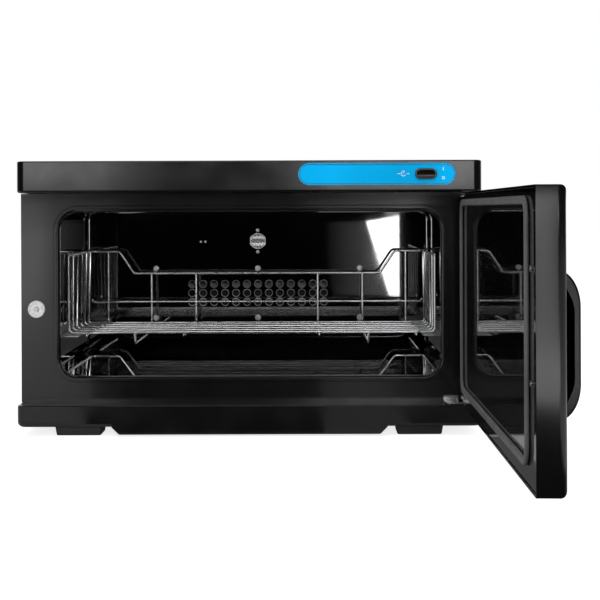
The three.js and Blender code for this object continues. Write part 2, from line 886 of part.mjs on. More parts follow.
heaterScrews.forEach(([x, z], i) => {
  const seat = [x, chamberBack - seatGap, z];
  place(cabinet, `chamber_screw_${i + 1}`, plainScrew(seat, backwards), "steel");
});

// Mesh vent: a perforated disc with two ears behind the wall
function ventMesh() {
  const earY = heaterFront;
  const disc = rod([0, chamberBack - seatGap, ventCentreZ], axes.y, earY + ventThickness - chamberBack, ventRadius);
  const ear = alongY(
    stadium(0, ventCentreZ, ventEarWidth, 2 * ventScrewReach + ventEarWidth),
    [earY, earY + ventThickness],
  );
  const through = [chamberBack - overrun, ventThickness + 3 * overrun];
  const holes = [hexHole(0, 0, through)];
  for (let ring = 1; ring <= ventHoleRings; ring++) {
    const count = 6 * ring;
    for (let i = 0; i < count; i++) {
      const angle = (2 * Math.PI * i) / count;
      holes.push(hexHole(ring * ventHolePitch * Math.cos(angle), ring * ventHolePitch * Math.sin(angle), through));
    }
  }
  const screws = ventScrews.map(([x, z]) =>
    rod([x, chamberBack, z], axes.y, 3 * overrun, smallShankRadius + seatGap, 8),
  );
  return cut(disc.add(ear), [...holes, ...screws]);
}

function hexHole(x, z, [y, length]) {
  return rod([x, y, ventCentreZ + z], axes.y, length, ventHoleRadius, 6);
}
place(cabinet, "vent_mesh", ventMesh(), "steel");
ventScrews.forEach(([x, z], i) => {
  const name = i === 0 ? "vent_screw_lower" : "vent_screw_upper";
  place(cabinet, name, smallScrew([x, chamberBack - seatGap, z], backwards), "steel");
});

// Heater housing: a flanged box behind the air holes
const heaterBack = heaterFront + heaterBoxDepth;
const heaterTubeY = heaterFront + heaterTubeBack;
const heaterZ = (heaterScrewLowZ + heaterScrewHighZ) / 2;
const heaterTailX = heaterBoxWidth / 2 + heaterTailLength;

function heaterHousing() {
  const flangeHalf = heaterScrewReachX + heaterFlange;
  const flange = block(
    [-flangeHalf, flangeHalf],
    [heaterFront, heaterFront + sheet],
    grown([heaterScrewLowZ, heaterScrewHighZ], heaterFlange),
  );
  const boxX = span(0, heaterBoxWidth);
  const boxZ = span(heaterZ, heaterBoxHeight);
  const box = block(boxX, [heaterFront, heaterBack], boxZ);
  const hollow = block(grown(boxX, -sheet), [heaterFront - overrun, heaterBack - sheet], grown(boxZ, -sheet));
  const screwHoles = heaterScrews.map(([x, z]) =>
    rod([x, heaterFront - overrun, z], axes.y, sheet + 2 * overrun, screwShankRadius + seatGap, 8),
  );
  const tails = tubeLevels.map((z) =>
    rod([boxX[1] - overrun, heaterTubeY, z], axes.x, 2 * overrun, heaterTubeRadius + seatGap, 12),
  );
  return cut(joined([flange, box]), [hollow, ...screwHoles, ...tails]);
}
const tubeLevels = [-1, 1].map((sign) => heaterZ + (sign * heaterTubeGap) / 2);
place(cabinet, "heater_housing", heaterHousing(), "galvanised");

// Heating element: a hairpin tube whose tails leave through the housing's side
function heaterElement() {
  const start = [heaterTailX, heaterTubeY, tubeLevels[0]];
  const near = [-heaterTubeSpan / 2, heaterTubeY, tubeLevels[0]];
  const far = [-heaterTubeSpan / 2, heaterTubeY, tubeLevels[1]];
  const end = [heaterTailX, heaterTubeY, tubeLevels[1]];
  const bend = heaterTubeGap / 2 - seatGap / 2;
  return wire([start, near, far, end], heaterTubeRadius, { bend, steps: 5, sides: 10 });
}
place(cabinet, "heater_element", heaterElement(), "galvanised");

// Thermostat: a disc sensor riveted to the back of the chamber wall
function thermostat() {
  const seat = heaterFront;
  const can = rod([thermostatX, seat, thermostatZ], axes.y, thermostatDepth, thermostatRadius);
  const rivets = rivetPlaces.map(([x, z]) => rod([x, chamberBack, z], axes.y, 2 * overrun, rivetRadius, 8));
  const tags = [-1, 1].map((sign) =>
    block(
      span(thermostatX + sign * tagWidth, tagWidth),
      [seat + thermostatDepth - tagThickness, seat + thermostatDepth + tagLength],
      span(thermostatZ, tagThickness),
    ),
  );
  return joined([can, ...rivets, ...tags]);
}
place(cabinet, "thermostat", thermostat(), "ceramic");

// Thermal fuse: a small barrel on the back of the heater housing
function thermalFuse() {
  const y = heaterBack + seatGap + fuseRadius;
  return rod([-fuseLength / 2, y, heaterZ], axes.x, fuseLength, fuseRadius, 12);
}
place(cabinet, "thermal_fuse", thermalFuse(), "ceramic");

// Terminal block on the tray's floor
const terminalY = shellBack - terminalBack - terminalDepth;
const terminalBottom = trayBottomTop + seatGap;

function terminalBlock() {
  const body = block(
    span(terminalX, terminalWidth),
    [terminalY, terminalY + terminalDepth],
    [terminalBottom, terminalBottom + terminalHeight],
  );
  const top = terminalBottom + terminalHeight;
  const screws = rowOf(terminalWays, terminalWidth / terminalWays).map((x) =>
    rod([terminalX + x, terminalY + terminalDepth / 2, top - terminalScrewDepth], axes.z,
      terminalScrewDepth + overrun, terminalScrewRadius, 8),
  );
  return cut(body, screws);
}
place(cabinet, "terminal_block", terminalBlock(), "nylon");

// Wiring: one lead from the terminal block to the switch, and one to the heating element
const wireFoot = terminalBottom + terminalHeight - terminalScrewDepth + seatGap;

function switchLead() {
  const x = terminalX + terminalWidth / terminalWays;
  const y = terminalY + terminalDepth / 2;
  const level = coverBottom + wireLift;
  const tagX = switchCentreX + tagWidth;
  const tagEnd = switchBodyBack + tagLength + seatGap;
  const corners = [
    [x, y, wireFoot],
    [x, y, wireFoot + 3 * wireBend],
    [riserX, riserY, wireFoot + 6 * wireBend],
    [riserX, riserY, level],
    [riserX, tagEnd + 4 * wireBend, level],
    [tagX, tagEnd + 2 * wireBend, panelCentreZ],
    [tagX, tagEnd, panelCentreZ],
  ];
  return wire(corners, wireRadius, { sides: 8 });
}
place(cabinet, "switch_lead", switchLead(), "cableRed");

function heaterLead() {
  const y = terminalY + terminalDepth / 2;
  const tail = heaterTailX + seatGap;
  const corners = [
    [terminalX, y, wireFoot],
    [terminalX, y, wireFoot + 4 * wireBend],
    [tail + 2 * wireBend, heaterTubeY, heaterZ - heaterTubeGap],
    [tail + 2 * wireBend, heaterTubeY, tubeLevels[0]],
    [tail, heaterTubeY, tubeLevels[0]],
  ];
  return wire(corners, wireRadius, { bend: wireBend / 2, sides: 8 });
}
place(cabinet, "heater_lead", heaterLead(), "cableBlue");

// Insulation: one blanket wrapped round the liner
function insulationBlanket() {
  const inner = sheet + seatGap;
  const half = chamberHalf + inner + insulationSide;
  const spanY = [chamberFront, chamberBack - seatGap];
  const outside = block(
    [-half, half],
    spanY,
    [chamberFloor - inner - insulationBottom, chamberTop + inner + insulationTop],
  );
  return cut(outside, [sleeve(inner, grown(spanY, overrun))]);
}
place(cabinet, "insulation_blanket", insulationBlanket(), "wool");

// Basket rails: angle strips on the chamber's side walls
const railTop = upperFloor - wireThin - seatGap;
const railSpanY = [chamberFront + railFrontInset, chamberBack - railRearInset];

function basketRail(sign) {
  const wall = chamberHalf - seatGap;
  const across = (near, far) => [near, far].map((x) => sign * x).sort((a, b) => a - b);
  const upright = block(across(wall, wall - sheet), railSpanY, [railTop - railHeight, railTop]);
  const shelf = block(across(wall, wall - railShelf), railSpanY, [railTop - sheet, railTop]);
  return joined([upright, shelf]);
}
for (const sign of [-1, 1]) place(cabinet, `basket_rail_${sideName(sign)}`, basketRail(sign), "mirrorSteel");

// Baskets: a floor grid, two end grids and a back grid, each of welded wire
const weld = 2 * wireThin - weldBite;
const bendFree = basketHalfWidth - basketBendRadius;
const jointGap = seatGap / 2;
const endBend = basketBendRadius - jointGap - basketLead;
const basketPitch = (basketBack - basketLastWire - basketFront) / (basketCrossWires - 1);
const crossPlaces = Array.from({ length: basketCrossWires }, (_, i) => basketFront + i * basketPitch);
const skidPlace = uprightPlaces[1];
const skidRear = basketBack - skidRearInset;

function straight(from, to, radius) {
  return wire([from, to], radius);
}

function basketFloor(floor) {
  const lower = floor - weld;
  const reach = bendFree - jointGap;
  const rear = basketBack - basketUprightBend - jointGap;
  const front = basketFront - basketFrontTail;
  const across = crossPlaces.map((y) => straight([-reach, y, floor], [reach, y, floor], wireThin));
  const lengthwise = uprightPlaces.flatMap((x) =>
    [-x, x].map((place) => straight([place, front, lower], [place, rear, lower], wireThin)),
  );
  return joined([...across, ...lengthwise]);
}

function basketSkid(x, floor) {
  const top = floor - weld - wireThin - seatGap;
  const bottom = floor - weld - skidDrop + wireThin;
  const corners = [
    [x, basketFront, top],
    [x, basketFront, bottom],
    [x, skidRear, bottom],
    [x, skidRear, top],
  ];
  return wire(corners, wireThin, { bend: 2 * wireThin, steps: 2 });
}

// Each level of an end grid is a rail that turns the corner to meet the back grid
function basketEnd(sign, floor, levels) {
  const x = sign * basketHalfWidth;
  const turn = sign * (bendFree + jointGap);
  const [top] = levels;
  const uprights = crossPlaces.map((y) =>
    wire([[turn, y, floor], [x, y, floor], [x, y, top.z]], wireThin, { bend: endBend }),
  );
  const front = basketFront - basketFrontTail;
  const rails = levels.map(({ z, radius, inset }) => {
    const side = x - sign * inset;
    const corners = [[side, front, z], [side, basketBack, z], [turn, basketBack, z]];
    return wire(corners, radius, { bend: endBend - inset });
  });
  return joined([...uprights, ...rails]);
}

function basketBackGrid(floor, rail, lowRail, midRail) {
  const reach = bendFree - jointGap;
  const top = wire(
    [
      [-reach, basketBack, rail],
      [-highRailEnd, basketBack, rail],
      [-lowRailEnd, basketBack, lowRail],
      [lowRailEnd, basketBack, lowRail],
      [highRailEnd, basketBack, rail],
      [reach, basketBack, rail],
    ],
    wireThick,
    { bend: basketBendRadius, steps: 2 },
  );
  const mid = midRail
    ? [straight([-reach, basketBack, midRail], [reach, basketBack, midRail], wireThin)]
    : [];
  const lower = floor - weld;
  const uprights = uprightPlaces.flatMap((place) => {
    const height = place > highRailEnd ? rail : lowRail;
    const heel = basketBack - basketUprightBend + jointGap;
    return [-place, place].map((x) =>
      wire([[x, heel, lower], [x, basketBack, lower], [x, basketBack, height]], wireThin, {
        bend: basketUprightBend - jointGap - basketLead,
        steps: 2,
      }),
    );
  });
  return joined([top, ...mid, ...uprights]);
}

function basket(group, name, { floor, rail, lowRail, midRail }) {
  const levels = [{ z: rail, radius: wireThick, inset: 0 }];
  if (midRail) levels.push({ z: midRail, radius: wireThin, inset: weld });
  place(group, `${name}_floor`, basketFloor(floor), "chrome");
  place(group, `${name}_back`, basketBackGrid(floor, rail, lowRail, midRail), "chrome");
  for (const sign of [-1, 1]) {
    place(group, `${name}_${sideName(sign)}`, basketEnd(sign, floor, levels), "chrome");
  }
}
basket(upperBasket, "upper_basket", {
  floor: upperFloor,
  rail: upperRail,
  lowRail: upperRail - railDip,
  midRail: upperMidRail,
});
for (const sign of [-1, 1]) {
  place(upperBasket, `upper_basket_skid_${sideName(sign)}`, basketSkid(sign * skidPlace, upperFloor), "chrome");
}
basket(lowerBasket, "lower_basket", {
  floor: chamberFloor + seatGap + wireThin + weld,
  rail: lowerRail,
  lowRail: lowerRail - lowerRailDip,
  midRail: 0,
});

// Strike: the steel disc that the door's magnet holds, with its screw
function strikePlate() {
  const back = bodySetback - seatGap;
  const hub = screwShankRadius + seatGap;
  const dishRadius = strikeRadius - strikeRim;
  const profile = [
    [hub, 0],
    [strikeRadius, 0],
    [strikeRadius, strikeThickness - strikeDish],
    [strikeRadius - strikeDish, strikeThickness],
    [dishRadius, strikeThickness],
    [dishRadius, strikeThickness - strikeDish],
    [hub, strikeThickness - strikeDish],
    [hub, 0],
  ];
  return turned(profile, [strikeX, back, strikeZ], backwards, 24);
}
place(cabinet, "strike_plate", strikePlate(), "steel");
const strikeScrewSeat = bodySetback - seatGap - strikeThickness + strikeDish - seatGap;
place(cabinet, "strike_screw", plainScrew([strikeX, strikeScrewSeat, strikeZ], backwards), "steel");

// Hinge brackets: a plate and its pin above the door, and the same below it with an upright flange
const hingePlateBack = bodySetback - seatGap;
const upperPlateBottom = bodyTop + seatGap;
const lowerPlateBottom = baseTop + seatGap;

function hingePlateAt(low, inner, spanY) {
  return block([inner, hingePlateOuter], spanY, [low, low + hingePlate]);
}

function upperHinge() {
  const plate = hingePlateAt(upperPlateBottom, hingeUprightEnd - hingeTongue / 2, [
    hingePlateFront,
    frameBack + seatGap + hingeTongue,
  ]);
  const pin = rod(
    [pinX, pinY, upperPlateBottom + hingePlate / 2],
    axes.z.clone().negate(),
    hingePinLength,
    hingePinRadius,
  );
  return joined([plate, pin]);
}

function lowerHinge() {
  const plate = hingePlateAt(lowerPlateBottom, hingePlateInner, [hingePlateFront, hingePlateBack]);
  const upright = block(
    [hingePlateInner, hingeUprightEnd],
    [hingePlateBack - hingePlate, hingePlateBack],
    [lowerPlateBottom, lowerPlateBottom + hingePlate + hingeUprightHeight],
  );
  const pin = rod([pinX, pinY, lowerPlateBottom + hingePlate / 2], axes.z, hingePinLength, hingePinRadius);
  return joined([plate, upright, pin]);
}
place(cabinet, "upper_hinge_bracket", upperHinge(), "steel");
place(cabinet, "lower_hinge_bracket", lowerHinge(), "steel");

// Door, drawn closed about the hinge pin and then turned open
const doorSpanZ = [doorBottom, doorTop];
const doorSpanX = [-doorReach, doorHeel];
const bushRadius = hingePinRadius + bushClearance + bushWall;
const bushHeight = hingePinLength;
const freeEdgeX = -doorReach;
const handleX = freeEdgeX + handleEdgeInset;
const magnetX = strikeX - pinX;
const handlePegReach = (handleLength - handlePegRadius * 3) / 2;

// The outline steps in at the hinge corners, to leave room for the brackets
function doorOutline(inset) {
  const [left, right] = grown(doorSpanX, -inset);
  const [low, high] = grown(doorSpanZ, -inset);
  const step = right - doorNotchWidth;
  return polygon([
    [left, low],
    [step, low],
    [step, low + doorNotchHeight],
    [right, low + doorNotchHeight],
    [right, high - doorNotchHeight],
    [step, high - doorNotchHeight],
    [step, high],
    [left, high],
  ]);
}

function bushHoles(radius) {
  const low = doorBottom + doorNotchHeight;
  const high = doorTop - doorNotchHeight;
  return [low - overrun, high - bushHeight - seatGap].map((z) =>
    rod([0, 0, z], axes.z, bushHeight + seatGap + overrun, radius),
  );
}

function pegHoles(radius) {
  return [-1, 1].map((sign) =>
    rod([handleX, doorOuterY - overrun, handleCentreZ + sign * handlePegReach], axes.y,
      handlePegLength + overrun + seatGap, radius, 12),
  );
}

const panScrewY = doorInnerY - innerPanelSheet - seatGap;

function doorShell() {
  const plan = roundedRect(doorSpanX, [doorOuterY, doorInnerY + doorOuterCorner], doorOuterCorner, 3);
  const walls = alongZ(plan, grown(doorSpanZ, overrun));
  const outside = walls.intersect(alongY(doorOutline(0), [doorOuterY, panScrewY]));
  const hollowPlan = roundedRect(
    grown(doorSpanX, -doorSheet),
    [doorOuterY + doorSheet, doorInnerY + doorOuterCorner],
    doorOuterCorner - doorSheet,
    3,
  );
  const hollow = alongZ(hollowPlan, doorSpanZ).intersect(
    alongY(doorOutline(doorSheet), [doorOuterY, doorInnerY + overrun]),
  );
  return cut(outside, [hollow, ...bushHoles(bushRadius + seatGap), ...pegHoles(handlePegRadius + seatGap)]);
}

function doorInnerPanel() {
  const plate = alongY(doorOutline(innerPanelInset), [doorInnerY - innerPanelSheet, doorInnerY]);
  const holes = panelScrewZs.map((z) =>
    screwHole([freeEdgeX + panelScrewInset, doorInnerY - screwLength, z], axes.y, smallShankRadius),
  );
  return cut(plate, holes);
}

function doorCore() {
  const inset = doorSheet + seatGap;
  const corner = doorOuterCorner - inset;
  const plan = roundedRect(
    grown(doorSpanX, -inset),
    [doorOuterY + inset, doorInnerY + doorOuterCorner],
    corner,
    3,
  );
  const body = alongZ(plan, doorSpanZ).intersect(
    alongY(doorOutline(inset), [doorOuterY, doorInnerY - innerPanelSheet - seatGap]),
  );
  const magnetPocket = rod(
    [magnetX, doorInnerY - innerPanelSheet - magnetThickness - 2 * seatGap, strikeZ],
    axes.y,
    magnetThickness + 2 * seatGap + overrun,
    magnetRadius + seatGap,
  );
  const screwHoles = panelScrewZs.map((z) =>
    screwHole([freeEdgeX + panelScrewInset, doorInnerY - screwLength, z], axes.y, smallShankRadius),
  );
  const pins = [...bushHoles(bushRadius + seatGap), ...pegHoles(handlePegRadius + seatGap)];
  return cut(body, [magnetPocket, ...screwHoles, ...pins]);
}

function doorMagnet() {
  const foot = doorInnerY - innerPanelSheet - magnetThickness - seatGap;
  return rod([magnetX, foot, strikeZ], axes.y, magnetThickness, magnetRadius);
}

function doorGasket() {
  const outerX = [freeEdgeX + gasketFreeInset, doorHeel - gasketHeelInset];
  const outerZ = [doorBottom + gasketBottomInset, doorTop - gasketTopInset];
  const seat = doorInnerY + seatGap;
  const crest = doorInnerY + gasketProud;
  const lip = gasketBand / 4;
  const ring = (inset, spanY) =>
    alongY(roundedRect(grown(outerX, -inset), grown(outerZ, -inset), gasketCorner - inset), spanY);
  const wide = ring(0, [seat, (seat + crest) / 2]);
  const narrow = ring(lip, [seat, crest]);
  const hole = ring(gasketBand, grown([seat, crest], overrun));
  const bevel = ring(gasketBand - lip, [(seat + crest) / 2, crest + overrun]);
  return cut(joined([wide, narrow]), [hole, bevel]);
}

// Bow handle: the outer line is a flattened arch, the inner one the same arch, smaller
function bow(halfLength, proud) {
  return Array.from({ length: handleSteps + 1 }, (_, i) => {
    const angle = (Math.PI * i) / handleSteps;
    const share = -Math.cos(angle);
    const rise = Math.sqrt(1 - Math.abs(share) ** handleBowPower);
    return [doorOuterY - seatGap - proud * rise, handleCentreZ + halfLength * share];
  });
}

function doorHandle() {
  const outer = alongX(polygon(bow(handleLength / 2, handleProud - seatGap)), span(handleX, handleWidth));
  const gap = alongX(
    polygon(bow(handleGapLength / 2, handleProud - seatGap - handleThickness)),
    span(handleX, handleWidth + 2 * overrun),
  );
  const pegs = [-1, 1].map((sign) =>
    rod([handleX, doorOuterY - overrun, handleCentreZ + sign * handlePegReach], axes.y,
      handlePegLength + overrun - seatGap, handlePegRadius, 12),
  );
  return cut(outer, [gap]).add(joined(pegs));
}

function doorBush(edge, up) {
  const inner = hingePinRadius + bushClearance;
  const lip = bushRadius + bushFlange;
  const profile = [
    [inner, -bushHeight],
    [bushRadius, -bushHeight],
    [bushRadius, seatGap],
    [lip, seatGap],
    [lip, seatGap + bushFlangeHeight],
    [inner, seatGap + bushFlangeHeight],
    [inner, -bushHeight],
  ];
  return turned(profile, [0, 0, edge], up);
}

place(door, "door_shell", doorShell(), "doorBlack");
place(door, "door_inner_panel", doorInnerPanel(), "doorBlack");
place(door, "door_insulation", doorCore(), "foam");
place(door, "door_magnet", doorMagnet(), "magnetGrey");
place(door, "door_gasket", doorGasket(), "gasketGrey");
place(door, "door_handle", doorHandle(), "coverBlack");
place(door, "door_bush_upper", doorBush(doorTop - doorNotchHeight, axes.z), "nylon");
place(door, "door_bush_lower", doorBush(doorBottom + doorNotchHeight, axes.z.clone().negate()), "nylon");
panelScrewZs.forEach((z, i) => {
  const name = i === 0 ? "door_panel_screw_upper" : "door_panel_screw_lower";
  const seat = [freeEdgeX + panelScrewInset, doorInnerY + seatGap, z];
  place(door, name, smallScrew(seat, axes.y), "steel");
});
door.position.set(pinX, pinY, 0);
door.rotation.z = THREE.MathUtils.degToRad(doorOpenAngle);

// Origin at the centre of the whole footprint, with the door open
cabinet.position.set((halfWidth - handleTipX) / 2, -(doorFreeY + glandBack) / 2, 0);

export default part;
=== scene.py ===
import math

import bmesh
import bpy
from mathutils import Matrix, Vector


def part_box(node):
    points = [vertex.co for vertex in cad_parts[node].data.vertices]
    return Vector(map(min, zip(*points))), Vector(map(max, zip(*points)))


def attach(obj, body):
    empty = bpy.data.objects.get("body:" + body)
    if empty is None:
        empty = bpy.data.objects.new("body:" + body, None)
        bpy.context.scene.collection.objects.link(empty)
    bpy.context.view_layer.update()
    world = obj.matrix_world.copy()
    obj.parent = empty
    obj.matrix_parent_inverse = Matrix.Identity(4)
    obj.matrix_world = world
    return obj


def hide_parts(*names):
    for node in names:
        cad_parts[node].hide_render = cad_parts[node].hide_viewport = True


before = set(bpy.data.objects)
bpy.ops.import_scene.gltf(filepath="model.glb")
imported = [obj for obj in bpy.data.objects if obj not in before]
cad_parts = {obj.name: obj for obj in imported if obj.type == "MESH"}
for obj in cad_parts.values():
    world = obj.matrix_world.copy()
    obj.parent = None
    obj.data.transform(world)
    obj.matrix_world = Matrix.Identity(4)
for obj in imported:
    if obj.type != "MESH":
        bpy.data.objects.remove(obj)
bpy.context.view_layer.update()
bpy.ops.object.select_all(action="DESELECT")

# Places are in the cabinet's own millimetres: x from its middle, y back from its front, z above the table
mm = 0.001
trayLow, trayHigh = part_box("base_tray")
cabinetPlace = Vector(((trayLow.x + trayHigh.x) / 2, trayLow.y, 0))
alongX, alongY, alongZ = 0, 1, 2
toFront, upright, sideways = (math.pi / 2, 0, 0), (0, 0, 0), (0, math.pi / 2, 0)  # how a disc can be turned
square = 0.999  # how closely a direction follows an axis


def at(x, y, z):
    return cabinetPlace + Vector((x, y, z)) * mm


def placeOf(point):
    return (point - cabinetPlace) / mm


def near(value, wanted, slack=0.05):
    return abs(value - wanted) < slack


# Selecting and shaping
def select(*pieces):
    bpy.ops.object.select_all(action="DESELECT")
    for piece in pieces:
        piece.select_set(True)
    bpy.context.view_layer.objects.active = pieces[-1]


def settle(name):
    piece = bpy.context.active_object
    piece.name = piece.data.name = name
    select(piece)
    bpy.ops.object.transform_apply()
    return piece


def startAdding():
    bpy.ops.object.select_all(action="DESELECT")


def addBlock(name, spanX, spanY, spanZ):
    startAdding()
    spans = (spanX, spanY, spanZ)
    middle = [sum(span) / 2 for span in spans]
    size = [(span[1] - span[0]) * mm for span in spans]
    bpy.ops.mesh.primitive_cube_add(size=1, location=at(*middle), scale=size)
    return settle(name)


def addDisc(name, centre, radius, depth, turn=toFront, sides=32):
    startAdding()
    bpy.ops.mesh.primitive_cylinder_add(
        vertices=sides, radius=radius * mm, depth=depth * mm, location=at(*centre), rotation=turn
    )
    return settle(name)


def middleOf(edge):
    return placeOf((edge.verts[0].co + edge.verts[1].co) / 2)


def runsAlong(edge, axis):
    way = (edge.verts[1].co - edge.verts[0].co).normalized()
    return abs(way[axis]) > square


def bothAt(edge, axis, wanted):
    return all(near(placeOf(vert.co)[axis], wanted) for vert in edge.verts)


def pick(piece, kind, test):  # enters edit mode with what passes the test selected
    select(piece)
    bpy.ops.object.mode_set(mode="EDIT")
    bpy.ops.mesh.select_mode(type=kind)
    bpy.ops.mesh.select_all(action="DESELECT")
    mesh = bmesh.from_edit_mesh(piece.data)
    for element in {"VERT": mesh.verts, "EDGE": mesh.edges, "FACE": mesh.faces}[kind]:
        if test(element):
            element.select_set(True)
    bmesh.update_edit_mesh(piece.data)


def done():
    bpy.ops.object.mode_set(mode="OBJECT")


def reshape(piece, kind, test, operator, **settings):  # runs an operator on what passes the test
    pick(piece, kind, test)
    operator(**settings)
    done()


def everything(element):
    return True


def bevelEdges(piece, offset, steps, test, profile=0.5):
    settings = {"offset": offset * mm, "segments": steps, "profile": profile, "affect": "EDGES"}
    reshape(piece, "EDGE", test, bpy.ops.mesh.bevel, **settings)


def edgesAlong(axis, *places):  # the test for edges along one axis, lying at some (axis, value) places
    return lambda edge: runsAlong(edge, axis) and all(near(middleOf(edge)[side], value) for side, value in places)


def addPlate(name, spanX, spanY, spanZ, corner, steps=8, axis=alongY):  # a block rounded along one axis
    piece = addBlock(name, spanX, spanY, spanZ)
    bevelEdges(piece, corner, steps, edgesAlong(axis))
    return piece


def sharpEdge(edge, degrees=35):
    return len(edge.link_faces) == 2 and edge.calc_face_angle(0) > math.radians(degrees)


def softenRim(piece, axis, wanted, offset, steps=3, profile=0.5):  # rounds the sharp edges lying at one place
    bevelEdges(piece, offset, steps, lambda edge: bothAt(edge, axis, wanted) and sharpEdge(edge), profile)


def facing(*ways):  # the test for faces that look one of the given ways, each an axis and a sign
    return lambda face: any(face.normal[axis] * sign > square for axis, sign in ways)


def dropFaces(piece, *ways):
    reshape(piece, "FACE", facing(*ways), bpy.ops.mesh.delete, type="FACE")


def resizeBase(piece, size):  # resizes the face that looks down
    reshape(piece, "FACE", facing((alongZ, -1)), bpy.ops.transform.resize, value=size)


def modify(piece, kind, **settings):
    select(piece)
    modifier = piece.modifiers.new(kind.title(), kind)
    for key, value in settings.items():
        setattr(modifier, key, value)
    bpy.ops.object.modifier_apply(modifier=modifier.name)


def combine(piece, other, operation):
    modify(piece, "BOOLEAN", operation=operation, solver="EXACT", object=other)
    bpy.data.objects.remove(other)


def cutOut(piece, *cutters):
    for cutter in cutters:
        combine(piece, cutter, "DIFFERENCE")


def unite(piece, other):
    combine(piece, other, "UNION")


def joinPieces(*pieces):
    select(*pieces[::-1])
    bpy.ops.object.join()
    return pieces[0]


def copyPiece(piece, name, move=(0, 0, 0)):  # moved from where it was modelled
    select(piece)
    bpy.ops.object.duplicate()
    bpy.context.active_object.location = Vector(move) * mm
    return settle(name)


def moveOrigin(piece, place):
    select(piece)
    bpy.context.scene.cursor.location = place
    bpy.ops.object.origin_set(type="ORIGIN_CURSOR")


def turnAbout(piece, place, turn=(0, 0, 0), scale=(1, 1, 1)):
    moveOrigin(piece, place)
    piece.rotation_euler, piece.scale = turn, scale
    bpy.ops.object.transform_apply()


def pushFaces(piece, way, distance, wall=0):  # draws out or pushes in what looks that way, within a wall
    axis, sign = way
    pick(piece, "FACE", facing(way))
    if wall:
        bpy.ops.mesh.inset(thickness=wall * mm, use_even_offset=True)
    push = [0, 0, 0]
    push[axis] = sign * distance * mm
    bpy.ops.mesh.extrude_region_move(TRANSFORM_OT_translate={"value": push})
    done()


def recalculate(piece):
    pick(piece, "FACE", everything)
    bpy.ops.mesh.remove_doubles(threshold=0.00001)
    bpy.ops.mesh.normals_make_consistent(inside=False)
    done()


def nodeName(name):
    return "".join(f"_{letter.lower()}" if letter.isupper() or letter.isdigit() else letter for letter in name)


def finishPiece(piece, body, look, nodes=None, smooth=32):  # its node has its own name, or is given
    piece.data.materials.clear()
    piece.data.materials.append(looks[look])
    select(piece)
    bpy.ops.object.shade_smooth_by_angle(angle=math.radians(smooth))
    modify(piece, "WEIGHTED_NORMAL", keep_sharp=True, weight=80)
    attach(piece, body)
    nodes = [nodeName(piece.name)] if nodes is None else nodes
    if nodes:
        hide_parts(*nodes)


# Wires: a ring that is drawn out along its path and spun round each bend
def bentWire(name, corners, radius, bend, sides=12, steps=5):
    points = [at(*corner) for corner in corners]
    heading = (points[1] - points[0]).normalized()
    startAdding()
    bpy.ops.mesh.primitive_circle_add(
        vertices=sides, radius=radius * mm, fill_type="NOTHING", location=points[0],
        rotation=heading.to_track_quat("Z", "Y").to_euler(),
    )
    piece = settle(name)
    bpy.ops.object.mode_set(mode="EDIT")
    bpy.ops.mesh.select_all(action="SELECT")
    here = points[0]
    for i in range(1, len(points)):
        corner = points[i]
        if i + 1 == len(points):
            bpy.ops.mesh.extrude_edges_move(TRANSFORM_OT_translate={"value": corner - here})
            break
        out = (points[i + 1] - corner).normalized()
        turn = heading.angle(out)
        setback = bend * mm * math.tan(turn / 2)
        start = corner - heading * setback
        bpy.ops.mesh.extrude_edges_move(TRANSFORM_OT_translate={"value": start - here})
        axis = heading.cross(out).normalized()
        centre = start + axis.cross(heading) * bend * mm
        bpy.ops.mesh.spin(steps=steps, angle=-turn, center=centre, axis=axis)
        here = corner + out * setback
        heading = out
    bpy.ops.mesh.select_all(action="SELECT")
    bpy.ops.mesh.remove_doubles(threshold=0.000001)
    bpy.ops.mesh.fill_holes(sides=0)
    bpy.ops.mesh.normals_make_consistent(inside=False)
    done()
    bevelEdges(piece, radius * 0.35, 2, lambda edge: any(len(face.verts) == sides for face in edge.link_faces))
    return piece


# Materials
def setInputs(node, **values):
    for socket, value in values.items():
        node.inputs[socket.replace("_", " ")].default_value = value


def shaderOf(material):
    return material.node_tree.nodes["Principled BSDF"]


def newMaterial(name, color, roughness, metallic=0.0, **sockets):
    material = bpy.data.materials.new(name)
    material.use_nodes = True
    setInputs(shaderOf(material), Base_Color=(*color, 1), Roughness=roughness, Metallic=metallic, **sockets)
    return material


def addNode(owner, kind, **settings):  # the owner is a material or the world
    node = owner.node_tree.nodes.new(kind)
    for key, value in settings.items():
        setattr(node, key, value)
    return node


def link(owner, source, target):
    owner.node_tree.links.new(source, target)


def noiseOn(material, scale, detail, stretch=(1, 1, 1), kind="ShaderNodeTexNoise"):
    place = addNode(material, "ShaderNodeTexCoord")
    mapping = addNode(material, "ShaderNodeMapping")
    texture = addNode(material, kind)
    setInputs(mapping, Scale=stretch)
    setInputs(texture, Scale=scale, Detail=detail)
    link(material, place.outputs["Object"], mapping.inputs["Vector"])
    link(material, mapping.outputs["Vector"], texture.inputs["Vector"])
    return texture


def varyColor(material, texture, color, dark, light, output="Fac"):
    ramp = addNode(material, "ShaderNodeValToRGB")
    for stop, position, factor in zip(ramp.color_ramp.elements, (0.35, 0.65), (dark, light)):
        stop.position = position
        stop.color = (*(channel * factor for channel in color), 1)
    link(material, texture.outputs[output], ramp.inputs["Fac"])
    link(material, ramp.outputs["Color"], shaderOf(material).inputs["Base Color"])


def varyRoughness(material, texture, low, high, output="Fac"):
    spread = addNode(material, "ShaderNodeMapRange")
    setInputs(spread, From_Min=0.3, From_Max=0.7, To_Min=low, To_Max=high)
    link(material, texture.outputs[output], spread.inputs["Value"])
    link(material, spread.outputs["Result"], shaderOf(material).inputs["Roughness"])


